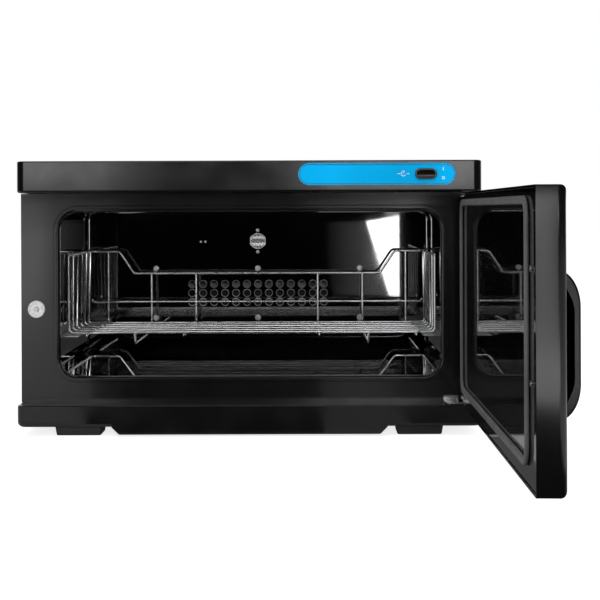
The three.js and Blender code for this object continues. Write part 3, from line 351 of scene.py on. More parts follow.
def addBump(material, *layers):  # each layer is a texture, its strength and its depth in mm
    normal = None
    for texture, strength, depth in layers:
        bump = addNode(material, "ShaderNodeBump")
        setInputs(bump, Strength=strength, Distance=depth * mm)
        link(material, texture.outputs["Fac"], bump.inputs["Height"])
        if normal:
            link(material, normal, bump.inputs["Normal"])
        normal = bump.outputs["Normal"]
    link(material, normal, shaderOf(material).inputs["Normal"])


def surface(name, color, roughness, tone, gloss, bumps, metallic=0.0, **sockets):  # rows: a noise, two values
    material = newMaterial(name, color, roughness, metallic, **sockets)
    noise, dark, light = tone
    varyColor(material, noiseOn(material, *noise), color, dark, light)
    for noise, low, high in gloss:
        varyRoughness(material, noiseOn(material, *noise), low, high)
    addBump(material, *[(noiseOn(material, *noise), strength, depth) for noise, strength, depth in bumps])
    return material


def mouldedPlastic(name, color, roughness, grain):  # fine grain, faint waves, slightly uneven gloss
    gloss = [((30, 4), roughness - 0.05, roughness + 0.05)]
    bumps = [((1400, 2), grain, 0.02), ((9, 2), 0.15, 0.6)]
    return surface(name, color, roughness, ((9, 2), 0.88, 1.12), gloss, bumps)


def sprayedPaint(name, color, roughness, peel, waves=0.4):  # orange peel over sheet that isn't quite flat
    tone = ((60, 4), 0.85, 1.15)
    gloss = [((24, 5), roughness * 0.85, roughness * 1.2)]
    bumps = [((520, 2), peel, 0.03), ((6, 2), 0.2, waves)]
    return surface(name, color, roughness, tone, gloss, bumps, Coat_Weight=0.3, Coat_Roughness=0.08)


def brushedMetal(name, color, roughness, stretch, spread=0.05, depth=0.012):
    lines = (1, 6, stretch)
    gloss = [((26, 4), roughness - spread, roughness + spread)]
    return surface(name, color, roughness, (lines, 0.9, 1.08), gloss, [(lines, 0.25, depth)], 1.0)


def platedSteel(name, color, roughness):
    gloss = [((160, 4), roughness - 0.06, roughness + 0.08)]
    return surface(name, color, roughness, ((420, 3), 0.84, 1.1), gloss, [((900, 2), 0.15, 0.02)], 1.0)


def drawnChrome(name, color, roughness):  # smooth plating over wire that is never quite straight
    gloss = [((70, 3), roughness * 0.7, roughness * 1.5)]
    return surface(name, color, roughness, ((45, 3), 0.9, 1.08), gloss, [((14, 2), 0.12, 0.4)], 1.0)


def softRubber(name, color, roughness):
    tone = ((36, 4), 0.85, 1.12)
    gloss = [((50, 3), roughness - 0.06, roughness + 0.06)]
    bumps = [((1100, 3), 0.3, 0.04)]
    return surface(name, color, roughness, tone, gloss, bumps, Sheen_Weight=0.08, Sheen_Roughness=0.5)


def woolFelt(name, color):
    tufts = (240, 6)
    bumps = [(tufts, 0.8, 0.8)]
    return surface(name, color, 0.95, (tufts, 0.6, 1.2), [], bumps, Sheen_Weight=0.4, Sheen_Roughness=0.6)


def insulatedWire(name, color):
    return surface(name, color, 0.4, ((200, 2), 0.8, 1.2), [], [((700, 2), 0.15, 0.03)])


def spangledZinc(name, color):
    material = newMaterial(name, color, 0.42, 1.0)
    spangle = noiseOn(material, 130, 0, kind="ShaderNodeTexVoronoi")
    varyColor(material, spangle, color, 0.7, 1.15, "Color")
    varyRoughness(material, spangle, 0.3, 0.5, "Color")
    addBump(material, (noiseOn(material, 800, 3), 0.2, 0.02))
    return material


finishes = {
    mouldedPlastic: {
        "coverPlastic": ((0.0042, 0.004, 0.0039), 0.17, 0.06),
        "basePlastic": ((0.0032, 0.0032, 0.0033), 0.2, 0.06),
        "handlePlastic": ((0.0045, 0.0045, 0.0048), 0.2, 0.05),
        "switchPlastic": ((0.006, 0.006, 0.0065), 0.28, 0.3),
        "panelPlastic": ((0.0001, 0.48, 0.97), 0.4, 0.04),
        # dark blue: painted shade for the shadow line round the recessed panel
        "beadPlastic": ((0.001, 0.05, 0.12), 0.3, 0.04),
        "markInk": ((0.62, 0.88, 0.96), 0.5, 0.1),
        "nylonWhite": ((0.76, 0.76, 0.73), 0.45, 0.2),
        "creamCeramic": ((0.72, 0.66, 0.54), 0.5, 0.4),
    },
    sprayedPaint: {
        "bodyPaint": ((0.0026, 0.0026, 0.0027), 0.2, 0.12),
        "doorPaint": ((0.0026, 0.0026, 0.0028), 0.12, 0.05),
        "panelPaint": ((0.0022, 0.0022, 0.0025), 0.02, 0.005, 0.02),
    },
    brushedMetal: {
        "wallMirror": ((0.24, 0.242, 0.246), 0.03, (5, 5, 900), 0.01, 0.004),
        "railMirror": ((0.42, 0.425, 0.43), 0.36, (6, 900, 900)),
    },
    drawnChrome: {"wireChrome": ((0.86, 0.865, 0.87), 0.13), "hingeSteel": ((0.6, 0.61, 0.62), 0.14)},
    platedSteel: {
        "screwSteel": ((0.7, 0.71, 0.72), 0.3),
        "strikeSteel": ((0.86, 0.86, 0.86), 0.5),
        # near black: painted shade, so that the air holes in the chamber's back wall look dark
        "scorchedSteel": ((0.05, 0.048, 0.046), 0.5),
        "ventSteel": ((0.85, 0.85, 0.86), 0.5),
        "magnetGrey": ((0.06, 0.06, 0.065), 0.45),
    },
    softRubber: {
        "gasketRubber": ((0.105, 0.106, 0.11), 0.42),
        "blackRubber": ((0.011, 0.011, 0.012), 0.6),
    },
    spangledZinc: {"zincSheet": ((0.36, 0.38, 0.39),)},
    woolFelt: {"glassWool": ((0.62, 0.56, 0.33),), "paleWool": ((0.76, 0.73, 0.66),)},
    insulatedWire: {"redLead": ((0.33, 0.03, 0.02),), "blueLead": ((0.03, 0.08, 0.22),)},
}
looks = {name: maker(name, *values) for maker, group in finishes.items() for name, values in group.items()}
setInputs(shaderOf(looks["panelPlastic"]), Specular_IOR_Level=0.03)
for dull in ("ventSteel", "strikeSteel"):  # part of their light comes from a matt white passivation
    setInputs(shaderOf(looks[dull]), Metallic=0.55)
print("materials ready")

carried = {
    # the heater housing's near-black steel is painted shade, seen through the air holes
    "heater_housing": "scorchedSteel", "heater_element": "zincSheet", "thermostat": "creamCeramic",
    "thermal_fuse": "creamCeramic", "terminal_block": "nylonWhite", "switch_lead": "redLead",
    "heater_lead": "blueLead", "insulation_blanket": "glassWool", "door_insulation": "paleWool",
    "door_magnet": "magnetGrey", "door_bush_upper": "nylonWhite", "door_bush_lower": "nylonWhite",
}
for node, look in carried.items():
    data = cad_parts[node].data
    data.materials.clear()
    data.materials.append(looks[look])


def spanOf(middle, size):
    return (middle - size / 2, middle + size / 2)


def grown(span, by):
    return (span[0] - by, span[1] + by)


def stadium(name, spanX, spanY, spanZ, steps=10):
    return addPlate(name, spanX, spanY, spanZ, (spanZ[1] - spanZ[0]) / 2 - 0.02, steps)


# Cover
cover = {
    "spanX": (-225, 225), "spanY": (0, 285), "spanZ": (235.1, 265.9), "corner": 9, "edge": 1.6, "lip": 2.4,
    "wall": 3.4,
}
panel = {
    "spanX": (47.6, 199.2), "spanY": (0.2, 1.2), "spanZ": (241.95, 263.05), "gap": 0.3, "rim": 1.1, "sink": 0.25,
    "edge": 0.22, "bead": 0.3, "beadGap": 0.1, "beadEdge": 0.14,
}
switch = {
    "centre": (170.7, 252.5), "flange": (21.5, 10.6), "body": (20.2, 9.4), "pocket": (18.2, 8.1),
    "front": -1.1, "back": 15.2, "pocketDepth": 7, "room": 0.3, "tagPlace": 4.8, "tag": (4.8, 0.8, 8),
}


def switchPart(name, key, spanY, extra=0.0):
    spanX, spanZ = (spanOf(middle, size + extra) for middle, size in zip(switch["centre"], switch[key]))
    return stadium(name, spanX, spanY, spanZ)


def switchCutter():
    return switchPart("switchCutter", "body", (-3, 6), switch["room"])


def panelPart(name, by, spanY, steps=14):
    return stadium(name, grown(panel["spanX"], by), spanY, grown(panel["spanZ"], by), steps)


def buildCover():
    piece = addPlate("topCover", cover["spanX"], cover["spanY"], cover["spanZ"], cover["corner"], 10, alongZ)
    low, high = cover["spanZ"]
    softenRim(piece, alongZ, high, cover["edge"], 5)
    softenRim(piece, alongZ, low, cover["lip"], 4)
    pushFaces(piece, (alongZ, -1), cover["wall"] + low - high, cover["wall"] - cover["lip"])
    pocket = panelPart("panelPocket", panel["gap"], (-2, panel["spanY"][1] + panel["gap"]), 10)
    cutOut(piece, pocket, switchCutter())
    finishPiece(piece, "cabinet", "coverPlastic")


def buildPanel():
    front, floor = panel["spanY"][0], panel["spanY"][0] + panel["sink"]
    piece = panelPart("controlPanel", 0, panel["spanY"])
    cutOut(piece, panelPart("panelSink", -panel["rim"], (front - 2, floor)))
    softenRim(piece, alongY, front, panel["edge"])
    cutOut(piece, switchCutter())
    finishPiece(piece, "cabinet", "panelPlastic")
    # the bead round the panel's sink is dark blue, painted shade that stands for the shadow line round the panel
    by = panel["beadGap"] - panel["rim"]
    bead = panelPart("panelBead", by, (front + 0.02, floor + 0.15))
    cutOut(bead, panelPart("beadHole", by - 2 * panel["bead"], (front - 2, front + 2)))
    softenRim(bead, alongY, front + 0.02, panel["beadEdge"], 2)
    finishPiece(bead, "cabinet", "beadPlastic", [])


# Marks on the panel: a standby sign between two short rules, and the two signs of the switch
marks = {
    "face": 0.45, "thick": 0.16, "line": 0.72, "standby": (149, 252.6), "radius": 2.2, "rule": 2.6, "ruleGap": 1.0,
    "onSign": (187.4, 257.2), "offSign": (187.4, 248.6), "signHeight": 3.0, "corner": 0.12, "gapDegrees": 80,
}


def markBlock(centre, width, height):
    x, z = centre
    face = spanOf(marks["face"], marks["thick"])
    return addPlate("markBar", spanOf(x, width), face, spanOf(z, height), marks["corner"], 2)


def markArc(centre, radius, gapDegrees):  # the gap is at the top
    x, z = centre
    face = spanOf(marks["face"], marks["thick"])
    piece = addBlock("markArc", spanOf(x + radius, marks["line"]), face, (z, z + 0.01))
    gap, middle = math.radians(gapDegrees), at(x, marks["face"], z)
    arc = {"steps": 28, "angle": math.tau - gap - 0.02, "center": middle, "axis": (0, 1, 0)}
    reshape(piece, "FACE", facing((alongZ, 1)), bpy.ops.mesh.spin, **arc)
    turnAbout(piece, middle, (0, (gap - math.pi) / 2, 0))
    recalculate(piece)
    return piece


def buildMarks():
    (x, z), radius, line = marks["standby"], marks["radius"], marks["line"]
    reach = radius + marks["ruleGap"] + marks["rule"] / 2
    piece = joinPieces(
        markBlock((x, z + radius * 0.75), line, radius * 1.3),
        markBlock((x - reach, z), marks["rule"], line),
        markBlock((x + reach, z), marks["rule"], line),
        markBlock(marks["onSign"], line * 1.2, marks["signHeight"]),
        markArc((x, z), radius, marks["gapDegrees"]),
        markArc(marks["offSign"], (marks["signHeight"] - line) / 2, 1),
    )
    piece.name = "panelMarks"
    finishPiece(piece, "cabinet", "markInk", [])


def buildSwitch():
    (x, z), front, back = switch["centre"], switch["front"], switch["back"]
    piece = switchPart("switchHousing", "flange", (front, front + 1))
    softenRim(piece, alongY, front, 0.5, 4)
    unite(piece, switchPart("switchBody", "body", (front + 0.5, back)))
    width, height, length = switch["tag"]
    for side in (-1, 1):
        middle = x + side * switch["tagPlace"]
        spanY = (back - 1, back - 1 + length)
        tag = addPlate("switchTag", spanOf(middle, width), spanY, spanOf(z, height), 0.2, 2)
        unite(piece, tag)
    cutOut(piece, switchPart("switchPocket", "pocket", (front - 2, front + switch["pocketDepth"])))
    finishPiece(piece, "cabinet", "switchPlastic")


rocker = {
    "size": (17.2, 6.6), "proud": 2.4, "pivot": 1.5, "depth": 5.9, "dish": 1.0, "tilt": 7, "pin": (1.0, 19.8),
    "cuts": 8,
}


def buildRocker():
    x, z = switch["centre"]
    width, height = rocker["size"]
    front, cuts = -rocker["proud"], rocker["cuts"]
    piece = stadium("rockerKey", spanOf(x, width), (front, front + rocker["depth"]), spanOf(z, height), 8)
    levels = [z + height * (step / cuts - 0.5) for step in range(1, cuts)]
    for level in levels:
        reshape(piece, "FACE", everything, bpy.ops.mesh.bisect, plane_co=at(x, 0, level), plane_no=(0, 0, 1))
    for step, level in enumerate(levels, 1):
        dish = rocker["dish"] * math.sin(math.pi * step / cuts) * mm

        def onLine(vert):
            return near(placeOf(vert.co).y, front) and near(placeOf(vert.co).z, level, 0.02)

        reshape(piece, "VERT", onLine, bpy.ops.transform.translate, value=(0, dish, 0))
    bevelEdges(piece, 0.3, 2, lambda edge: sharpEdge(edge, 50) and middleOf(edge).y < 0)
    unite(piece, addDisc("rockerPin", (x, rocker["pivot"], z), *rocker["pin"], sideways, 16))
    turnAbout(piece, at(x, rocker["pivot"], z), (math.radians(rocker["tilt"]), 0, 0))
    finishPiece(piece, "power_rocker", "switchPlastic", ["power_rocker"])


buildCover()
buildPanel()
buildMarks()
buildSwitch()
buildRocker()
print("cover and controls built")

# Base tray and feet
tray = {
    "spanZ": (9, 29.9), "corner": 9, "edge": 5, "upperEdge": 1.0, "wall": 2.4, "mouthFront": 24.7,
    "mouthCorner": 3.3, "ledgeCorner": 6.6, "skirtTop": 133, "skirtBottom": 126, "skirtLow": 2, "skirtCorner": 1.2,
    "skirtOverlap": 6,
}


def buildTray():
    low, high = tray["spanZ"]
    wall = tray["wall"]
    piece = addPlate("baseTray", cover["spanX"], cover["spanY"], tray["spanZ"], tray["corner"], 10, alongZ)
    softenRim(piece, alongZ, low, tray["edge"], 6)
    softenRim(piece, alongZ, high, tray["upperEdge"], 3)
    inside, back = grown(cover["spanX"], -wall), cover["spanY"][1] - wall
    mouthY = (tray["mouthFront"], back)
    mouth = addPlate("trayMouth", inside, mouthY, (low + wall, high + 5), tray["mouthCorner"], 4, alongZ)
    ledge = addPlate("trayLedge", inside, (wall, back), (low + wall, high - wall), tray["ledgeCorner"], 6, alongZ)
    cutOut(piece, mouth, ledge)
    skirtLow = tray["skirtLow"]
    skirt = addBlock("traySkirt", (-tray["skirtTop"], tray["skirtTop"]), (0, wall), (skirtLow, low))
    resizeBase(skirt, (tray["skirtBottom"] / tray["skirtTop"], 1, 1))
    pushFaces(skirt, (alongZ, 1), tray["skirtOverlap"])
    bevelEdges(skirt, tray["skirtCorner"], 3, edgesAlong(alongY, (alongZ, skirtLow)))
    unite(piece, skirt)
    finishPiece(piece, "cabinet", "basePlastic")


foot = {
    "top": 46, "bottom": 43, "depth": 30, "height": 8.7, "corner": 2.2, "edge": 0.9, "wall": 5, "recess": 1.2,
    "placesX": {"Left": -166.3, "Right": 164.5}, "placesY": {"Front": 24, "Rear": 261},
}


def buildFeet():
    x, y, height = foot["placesX"]["Left"], foot["placesY"]["Front"], foot["height"]
    first = addBlock("footFrontLeft", spanOf(x, foot["top"]), spanOf(y, foot["depth"]), (0, height))
    resizeBase(first, (foot["bottom"] / foot["top"], 0.97, 1))
    bevelEdges(first, foot["corner"], 4, lambda edge: abs(middleOf(edge).z - height / 2) < 1)
    softenRim(first, alongZ, 0, foot["edge"], 3)
    wide, deep = foot["bottom"] - 2 * foot["wall"], foot["depth"] - 2 * foot["wall"]
    cutOut(first, addPlate("footRecess", spanOf(x, wide), spanOf(y, deep), (-2, foot["recess"]), 3, 4, alongZ))
    unite(first, addDisc("footStem", (x, y, 9.5), 4, 4, upright, 24))
    for end, placeY in foot["placesY"].items():
        for side, placeX in foot["placesX"].items():
            name = f"foot{end}{side}"
            piece = first if name == first.name else copyPiece(first, name, (placeX - x, placeY - y, 0))
            finishPiece(piece, "cabinet", "blackRubber")


buildTray()
buildFeet()
print("base built")

# Body: front frame, shell and rear panel
body = {
    "spanX": (-224.95, 224.95), "front": 25, "back": 281.65, "spanZ": (30.2, 234.8), "sheet": 0.8, "edge": 0.5,
    "tongueX": (-219, 219), "tongueLow": 11.7, "shellGap": 0.3, "fold": 4, "wireHole": (160, 269.95),
    "wireHoleRadius": 5,
}
opening = {
    "spanX": (-186.95, 186.95), "spanZ": (55.8, 216.7), "corner": 18, "rim": 6.2, "rimEdge": 0.75, "proud": 0.8,
    "roll": 3.0, "lip": 5.0, "lipInset": 0.9,
}
strike = {"centre": (-209.6, 121.5), "hole": 1.8, "back": 24.7, "thick": 2.4, "radius": 8.5}


def buildFrame():
    front, back = body["front"], body["front"] + body["sheet"]
    face = front - opening["proud"]
    piece = addBlock("frontFrame", body["spanX"], (front, back), body["spanZ"])
    tongueZ = (body["tongueLow"], body["spanZ"][0] + 1)
    unite(piece, addBlock("frameTongue", body["tongueX"], (front, back), tongueZ))

    def ring(name, by, spanY):
        spanX, spanZ = grown(opening["spanX"], by), grown(opening["spanZ"], by)
        return addPlate(name, spanX, spanY, spanZ, opening["corner"] + by, 14)

    bead = ring("openingRim", opening["rim"], (face, back))
    softenRim(bead, alongY, face, opening["rimEdge"], 4)
    lip = ring("openingLip", opening["rim"] - opening["lipInset"], (front, face + opening["lip"]))
    unite(bead, lip)
    unite(piece, bead)
    cutOut(piece, ring("openingHole", 0, (face - 4, back + 9)))
    bevelEdges(piece, opening["roll"], 7, lambda edge: bothAt(edge, alongY, face) and sharpEdge(edge, 60))

    def atSide(edge):
        return bothAt(edge, alongY, front) and sharpEdge(edge) and abs(middleOf(edge).x) > body["spanX"][1] - 0.1

    bevelEdges(piece, body["edge"], 3, atSide)
    x, z = strike["centre"]
    cutOut(piece, addDisc("strikeHole", (x, front, z), strike["hole"], 8))
    finishPiece(piece, "cabinet", "bodyPaint")


def openSleeve(piece, ways, thickness, offset):  # drops the faces that look the given ways, then gives a wall
    dropFaces(piece, *ways)
    modify(piece, "SOLIDIFY", thickness=thickness * mm, offset=offset, use_even_offset=True)


def buildShell():
    front, high = body["front"] + body["sheet"] + body["shellGap"], body["spanZ"][1]
    piece = addBlock("outerShell", body["spanX"], (front, body["back"]), body["spanZ"])
    bevelEdges(piece, body["fold"], 8, edgesAlong(alongY, (alongZ, high)))
    openSleeve(piece, [(alongY, -1), (alongY, 1), (alongZ, -1)], body["sheet"], -1)
    cutOut(piece, addDisc("wireHole", (*body["wireHole"], high), body["wireHoleRadius"], 6, upright, 24))
    finishPiece(piece, "cabinet", "bodyPaint")


rear = {
    "spanY": (281.95, 282.75), "edge": 0.35, "screws": (212.6, 222.8), "screwHole": 1.8, "louvres": 6, "length": 60,
    "height": 3.2, "pitch": 8, "first": 170, "hood": 1.5, "gland": (150, 62), "glandHole": 7.3, "glandTip": 289.05,
}


def buildRear():
    inner, outer = rear["spanY"]
    piece = addBlock("rearPanel", body["spanX"], rear["spanY"], body["spanZ"])
    bevelEdges(piece, rear["edge"], 2, lambda edge: sharpEdge(edge) and bothAt(edge, alongY, outer))
    tip, height = outer + rear["hood"], rear["height"]
    for i in range(rear["louvres"]):
        level = rear["first"] + i * rear["pitch"]
        hoodX, hoodZ = spanOf(0, rear["length"] + 4), (level, level + height / 2 + 2)
        hood = addPlate("louvreHood", hoodX, (inner, tip), hoodZ, 1.7, 6)
        softenRim(hood, alongY, tip, 0.9, 3)
        unite(piece, hood)
        slot = (spanOf(0, rear["length"]), grown(rear["spanY"], 3), spanOf(level, height))
        cutOut(piece, addPlate("louvreSlot", *slot, 1.55, 6))
    across, level = rear["screws"]
    holes = [addDisc("screwHole", (side * across, 282, level), rear["screwHole"], 6, sides=20) for side in (-1, 1)]
    x, z = rear["gland"]
    cutOut(piece, *holes, addDisc("glandHole", (x, 282, z), rear["glandHole"], 6))
    finishPiece(piece, "cabinet", "bodyPaint")


def turnedPiece(name, profile, centre, sides=40):  # profile: (radius, y) pairs, spun about a line along y
    startAdding()
    x, z = centre
    bpy.ops.mesh.primitive_circle_add(vertices=len(profile), radius=mm, fill_type="NOTHING", location=at(x, 0, z))
    piece = settle(name)
    bpy.ops.object.mode_set(mode="EDIT")
    for i, (radius, y) in enumerate(profile):
        bpy.ops.mesh.select_all(action="DESELECT")
        mesh = bmesh.from_edit_mesh(piece.data)
        mesh.verts.ensure_lookup_table()
        vert = mesh.verts[i]
        vert.select_set(True)
        shift = at(x + radius, y, z) - vert.co
        bmesh.update_edit_mesh(piece.data)
        bpy.ops.transform.translate(value=shift)
    bpy.ops.mesh.select_all(action="SELECT")
    bpy.ops.mesh.spin(steps=sides, angle=math.tau, center=at(x, 0, z), axis=(0, 1, 0))
    bpy.ops.mesh.select_all(action="SELECT")
    bpy.ops.mesh.remove_doubles(threshold=0.000005)
    bpy.ops.mesh.normals_make_consistent(inside=False)
    done()
    return piece


def buildGland():
    front, back, tip = body["back"], rear["spanY"][1] + 0.3, rear["glandTip"]
    profile = [
        (4, front - 6), (9.1, front - 6), (9.5, front - 5.6), (9.5, front), (7, front), (7, back), (9.5, back),
        (9.5, back + 1.6), (9.1, back + 2), (7.6, tip - 0.4), (7, tip), (4.4, tip), (4, tip - 0.4),
    ]
    piece = turnedPiece("cableGland", profile, rear["gland"])
    finishPiece(piece, "cabinet", "blackRubber")


buildFrame()
buildShell()
buildRear()
buildGland()
print("body built")

# Chamber: liner, back wall, vent and rails
chamber = {
    "spanX": (-193.4, 193.4), "front": 26.1, "back": 227, "spanZ": (24, 218.5), "corner": 13, "sheet": 0.8,
    "flange": 2, "gap": 0.3, "fold": 3.5, "holePitch": (12.4, 10.1), "holes": (13, 3), "holeRadius": 3.85,
    "holeCentre": 124.4, "collar": 0.42, "collarOut": 0.25, "screwsX": (-115, 0, 115), "screwsZ": (152.15, 96.65),
    "screwHole": 1.8, "rivets": (-61.9, 182.4), "rivetSide": 2.6, "rivetHole": 1.4,
}
vent = {"level": 183, "radius": 8.9, "screw": 12.3, "screwHole": 1.3, "ear": (228.1, 229.1), "strand": 0.5}


def buildLiner():
    back = chamber["back"] - chamber["gap"]
    spans = (chamber["spanX"], (chamber["front"], back), chamber["spanZ"])
    piece = addPlate("chamberLiner", *spans, chamber["corner"])
    softenRim(piece, alongY, back, chamber["fold"], 6)
    openSleeve(piece, [(alongY, -1), (alongY, 1)], chamber["sheet"], 1)
    finishPiece(piece, "cabinet", "wallMirror")


def rowOf(count, pitch):
    return [(i - (count - 1) / 2) * pitch for i in range(count)]


def buildBackWall():
    back, edge = chamber["back"], chamber["sheet"] + chamber["flange"]
    spans = (grown(chamber["spanX"], edge), (back, back + chamber["sheet"]), grown(chamber["spanZ"], edge))
    piece = addPlate("chamberBackWall", *spans, chamber["corner"] + edge)
    columns, rows = (rowOf(count, pitch) for count, pitch in zip(chamber["holes"], chamber["holePitch"]))
    holePlaces = [(x, chamber["holeCentre"] + z) for x in columns for z in rows]
    first = holePlaces[0]
    moves = [(x - first[0], 0, z - first[1]) for x, z in holePlaces[1:]]

    def hole(name, x, z, radius, sides=16):
        return addDisc(name, (x, back, z), radius, 6, sides=sides)

    drill = hole("airHole", *first, chamber["holeRadius"], 24)
    holes = [copyPiece(drill, "airHole", move) for move in moves]
    holes.append(hole("ventHole", 0, vent["level"], vent["radius"] + 0.3, 40))
    screws = [(x, z) for x in chamber["screwsX"] for z in chamber["screwsZ"]]
    holes += [hole("screwHole", x, z, chamber["screwHole"]) for x, z in screws]
    x, z = chamber["rivets"]
    for side in (-1, 1):
        holes.append(hole("screwHole", 0, vent["level"] + side * vent["screw"], vent["screwHole"]))
        holes.append(hole("rivetHole", x + side * chamber["rivetSide"], z, chamber["rivetHole"]))
    cutOut(piece, joinPieces(drill, *holes))
    startAdding()
    bpy.ops.mesh.primitive_torus_add(
        location=at(first[0], back - 0.05, first[1]), rotation=toFront, major_segments=28, minor_segments=8,
        major_radius=(chamber["holeRadius"] + chamber["collarOut"]) * mm, minor_radius=chamber["collar"] * mm,
    )
    collar = settle("holeCollar")
    joinPieces(collar, *[copyPiece(collar, "holeCollar", move) for move in moves])
    collar.name = collar.data.name = "holeCollars"
    finishPiece(piece, "cabinet", "wallMirror")
    finishPiece(collar, "cabinet", "railMirror", [])


def buildVent():
    radius, level, face = vent["radius"], vent["level"], chamber["back"] - chamber["gap"]
    profile = [
        (radius - 1.1, face + 1), (radius - 1.0, face + 0.2), (radius - 0.7, face), (radius - 0.2, face),
        (radius, face + 0.3), (radius, face + 2.4), (radius - 1.1, face + 2.4),
    ]
    piece = turnedPiece("ventMesh", profile, (0, level), 44)
    ear = addPlate("ventEar", spanOf(0, 7), vent["ear"], spanOf(level, 2 * vent["screw"] + 7), 3.4, 6)
    cutOut(ear, addDisc("earHole", (0, 228, level), radius - 1.3, 6))
    strands = []
    lean = math.radians(35)
    for offset in rowOf(7, 2.3):
        reach = 2 * math.sqrt((radius - 0.6) ** 2 - offset**2)
        for turn, depth in ((lean, 1.0), (lean + math.pi / 2, 1.7)):
            centre = (offset * math.cos(turn), face + depth, level - offset * math.sin(turn))
            strands.append(addDisc("strand", centre, vent["strand"], reach, (0, turn, 0), 8))
    joinPieces(piece, ear, *strands)
    finishPiece(piece, "cabinet", "ventSteel")


rail = {"top": 93.4, "height": 22, "shelf": 22, "spanY": (40.1, 222), "gap": 0.3, "sheet": 0.8, "fold": 1.4}


def buildRails():
    wall, top = chamber["spanX"][1] - rail["gap"], rail["top"]
    left = addBlock("basketRailLeft", (-wall, rail["shelf"] - wall), rail["spanY"], (top - rail["height"], top))
    dropFaces(left, (alongX, 1), (alongZ, -1), (alongY, -1), (alongY, 1))
    bevelEdges(left, rail["fold"], 5, edgesAlong(alongY, (alongX, -wall), (alongZ, top)))
    modify(left, "SOLIDIFY", thickness=rail["sheet"] * mm, offset=-1, use_even_offset=True)
    recalculate(left)
    right = copyPiece(left, "basketRailRight")
    turnAbout(right, cabinetPlace, scale=(-1, 1, 1))
    recalculate(right)
    finishPiece(left, "cabinet", "railMirror")
    finishPiece(right, "cabinet", "railMirror")


buildLiner()
buildBackWall()
buildVent()
buildRails()
print("chamber built")

# Screws: one pan head with a cross recess, modelled at the cabinet's origin and copied
screw = {
    "radius": 3.4, "height": 1.9, "edge": 1.1, "shank": 1.5, "length": 7, "slot": 0.8, "slotDepth": 1.1,
    "slotReach": 0.62, "small": 2.1,
}
doorScrews = {"inner": 204.5, "free": -406.5, "levels": {"upper": 178.8, "lower": 102.8}, "hole": 1.3}


def modelScrew():
    radius, height, length = screw["radius"], screw["height"], screw["length"]
    piece = addDisc("screwPattern", (0, -height / 2, 0), radius, height)
    softenRim(piece, alongY, -height, screw["edge"], 5)
    shank = addDisc("screwShank", (0, length / 2 - 0.1, 0), screw["shank"], length + 0.2, sides=20)
    unite(piece, shank)
    reach, half = radius * screw["slotReach"], screw["slot"] / 2
    for x, z in ((reach, half), (half, reach)):
        cutOut(piece, addBlock("crossSlot", (-x, x), (-height - 1, screw["slotDepth"] - height), (-z, z)))
    return piece


def placeScrew(pattern, name, foot, spin, turn=(0, 0, 0), scale=1.0, owner="cabinet"):
    select(pattern)
    bpy.ops.object.duplicate()
    piece = bpy.context.active_object
    moveOrigin(piece, cabinetPlace)
    piece.rotation_euler = (0, spin, 0)
    bpy.ops.object.transform_apply(location=False, rotation=True, scale=False)
    piece.scale = (scale, scale, scale)
    piece.rotation_euler = turn
    piece.location = at(*foot)
    finishPiece(settle(name), owner, "screwSteel")


def buildScrews():
    pattern = modelScrew()
    face, small = chamber["back"] - chamber["gap"], screw["small"] / screw["radius"]
    places = [(x, face, z) for z in chamber["screwsZ"] for x in chamber["screwsX"]]
    for i, place in enumerate(places):
        placeScrew(pattern, f"chamberScrew{i + 1}", place, 0.5 + 0.7 * i)
    across, level = rear["screws"]
    back, behind = rear["spanY"][1] + 0.3, (0, 0, math.pi)
    for i, name in enumerate(("Lower", "Upper")):
        place = (0, face, vent["level"] + (-1, 1)[i] * vent["screw"])
        placeScrew(pattern, f"ventScrew{name}", place, 0.3 + i, scale=small)
    for i, name in enumerate(("Left", "Right")):
        placeScrew(pattern, f"rearScrew{name}", ((-1, 1)[i] * across, back, level), 0.4 + i, behind)
    x, z = strike["centre"]
    placeScrew(pattern, "strikeScrew", (x, 22.8, z), 0.8, scale=0.8)
    for i, (name, z) in enumerate(doorScrews["levels"].items()):
        place = (doorScrews["inner"], doorScrews["free"], z)
        placeScrew(pattern, f"doorPanelScrew{name.title()}", place, 0.2 + i, (0, 0, -math.pi / 2), small, "door")
    bpy.data.objects.remove(pattern)


def buildStrike():
    back, front = strike["back"], strike["back"] - strike["thick"]
    radius, hole = strike["radius"], strike["hole"]
    profile = [
        (hole, back), (radius - 0.3, back), (radius, back - 0.3), (radius, front + 1.0),
        (radius - 0.25, front + 0.45), (radius - 0.8, front + 0.05), (radius - 1.6, front), (6.1, front + 0.1),
        (5.4, front + 0.75), (hole, front + 0.8),
    ]
    piece = turnedPiece("strikePlate", profile, strike["centre"], 44)
    finishPiece(piece, "cabinet", "strikeSteel")


hinge = {
    "pin": (213.4, 11.9), "pinRadius": 3, "pinLength": 13, "pinEdge": 0.8, "outer": 219.4, "front": 4, "plate": 1.2,
    "gap": 0.3, "corner": 5, "edge": 0.2, "upperX": 193.5, "upperBack": 46.1, "lowerX": 189, "lowerBack": 24.7,
    "uprightX": 203.5, "uprightHeight": 4.5,
}


def hingePlate(name, startX, back, low):
    piece = addBlock(name, (startX, hinge["outer"]), (hinge["front"], back), (low, low + hinge["plate"]))
    bevelEdges(piece, hinge["corner"], 6, lambda edge: runsAlong(edge, alongZ) and middleOf(edge).y < 10)
    return piece


def addPin(piece, start, way):
    (x, y), end = hinge["pin"], start + way * hinge["pinLength"]
    pin = addDisc("hingePin", (x, y, (start + end) / 2), hinge["pinRadius"], hinge["pinLength"], upright, 28)
    softenRim(pin, alongZ, end, hinge["pinEdge"], 3)
    unite(piece, pin)


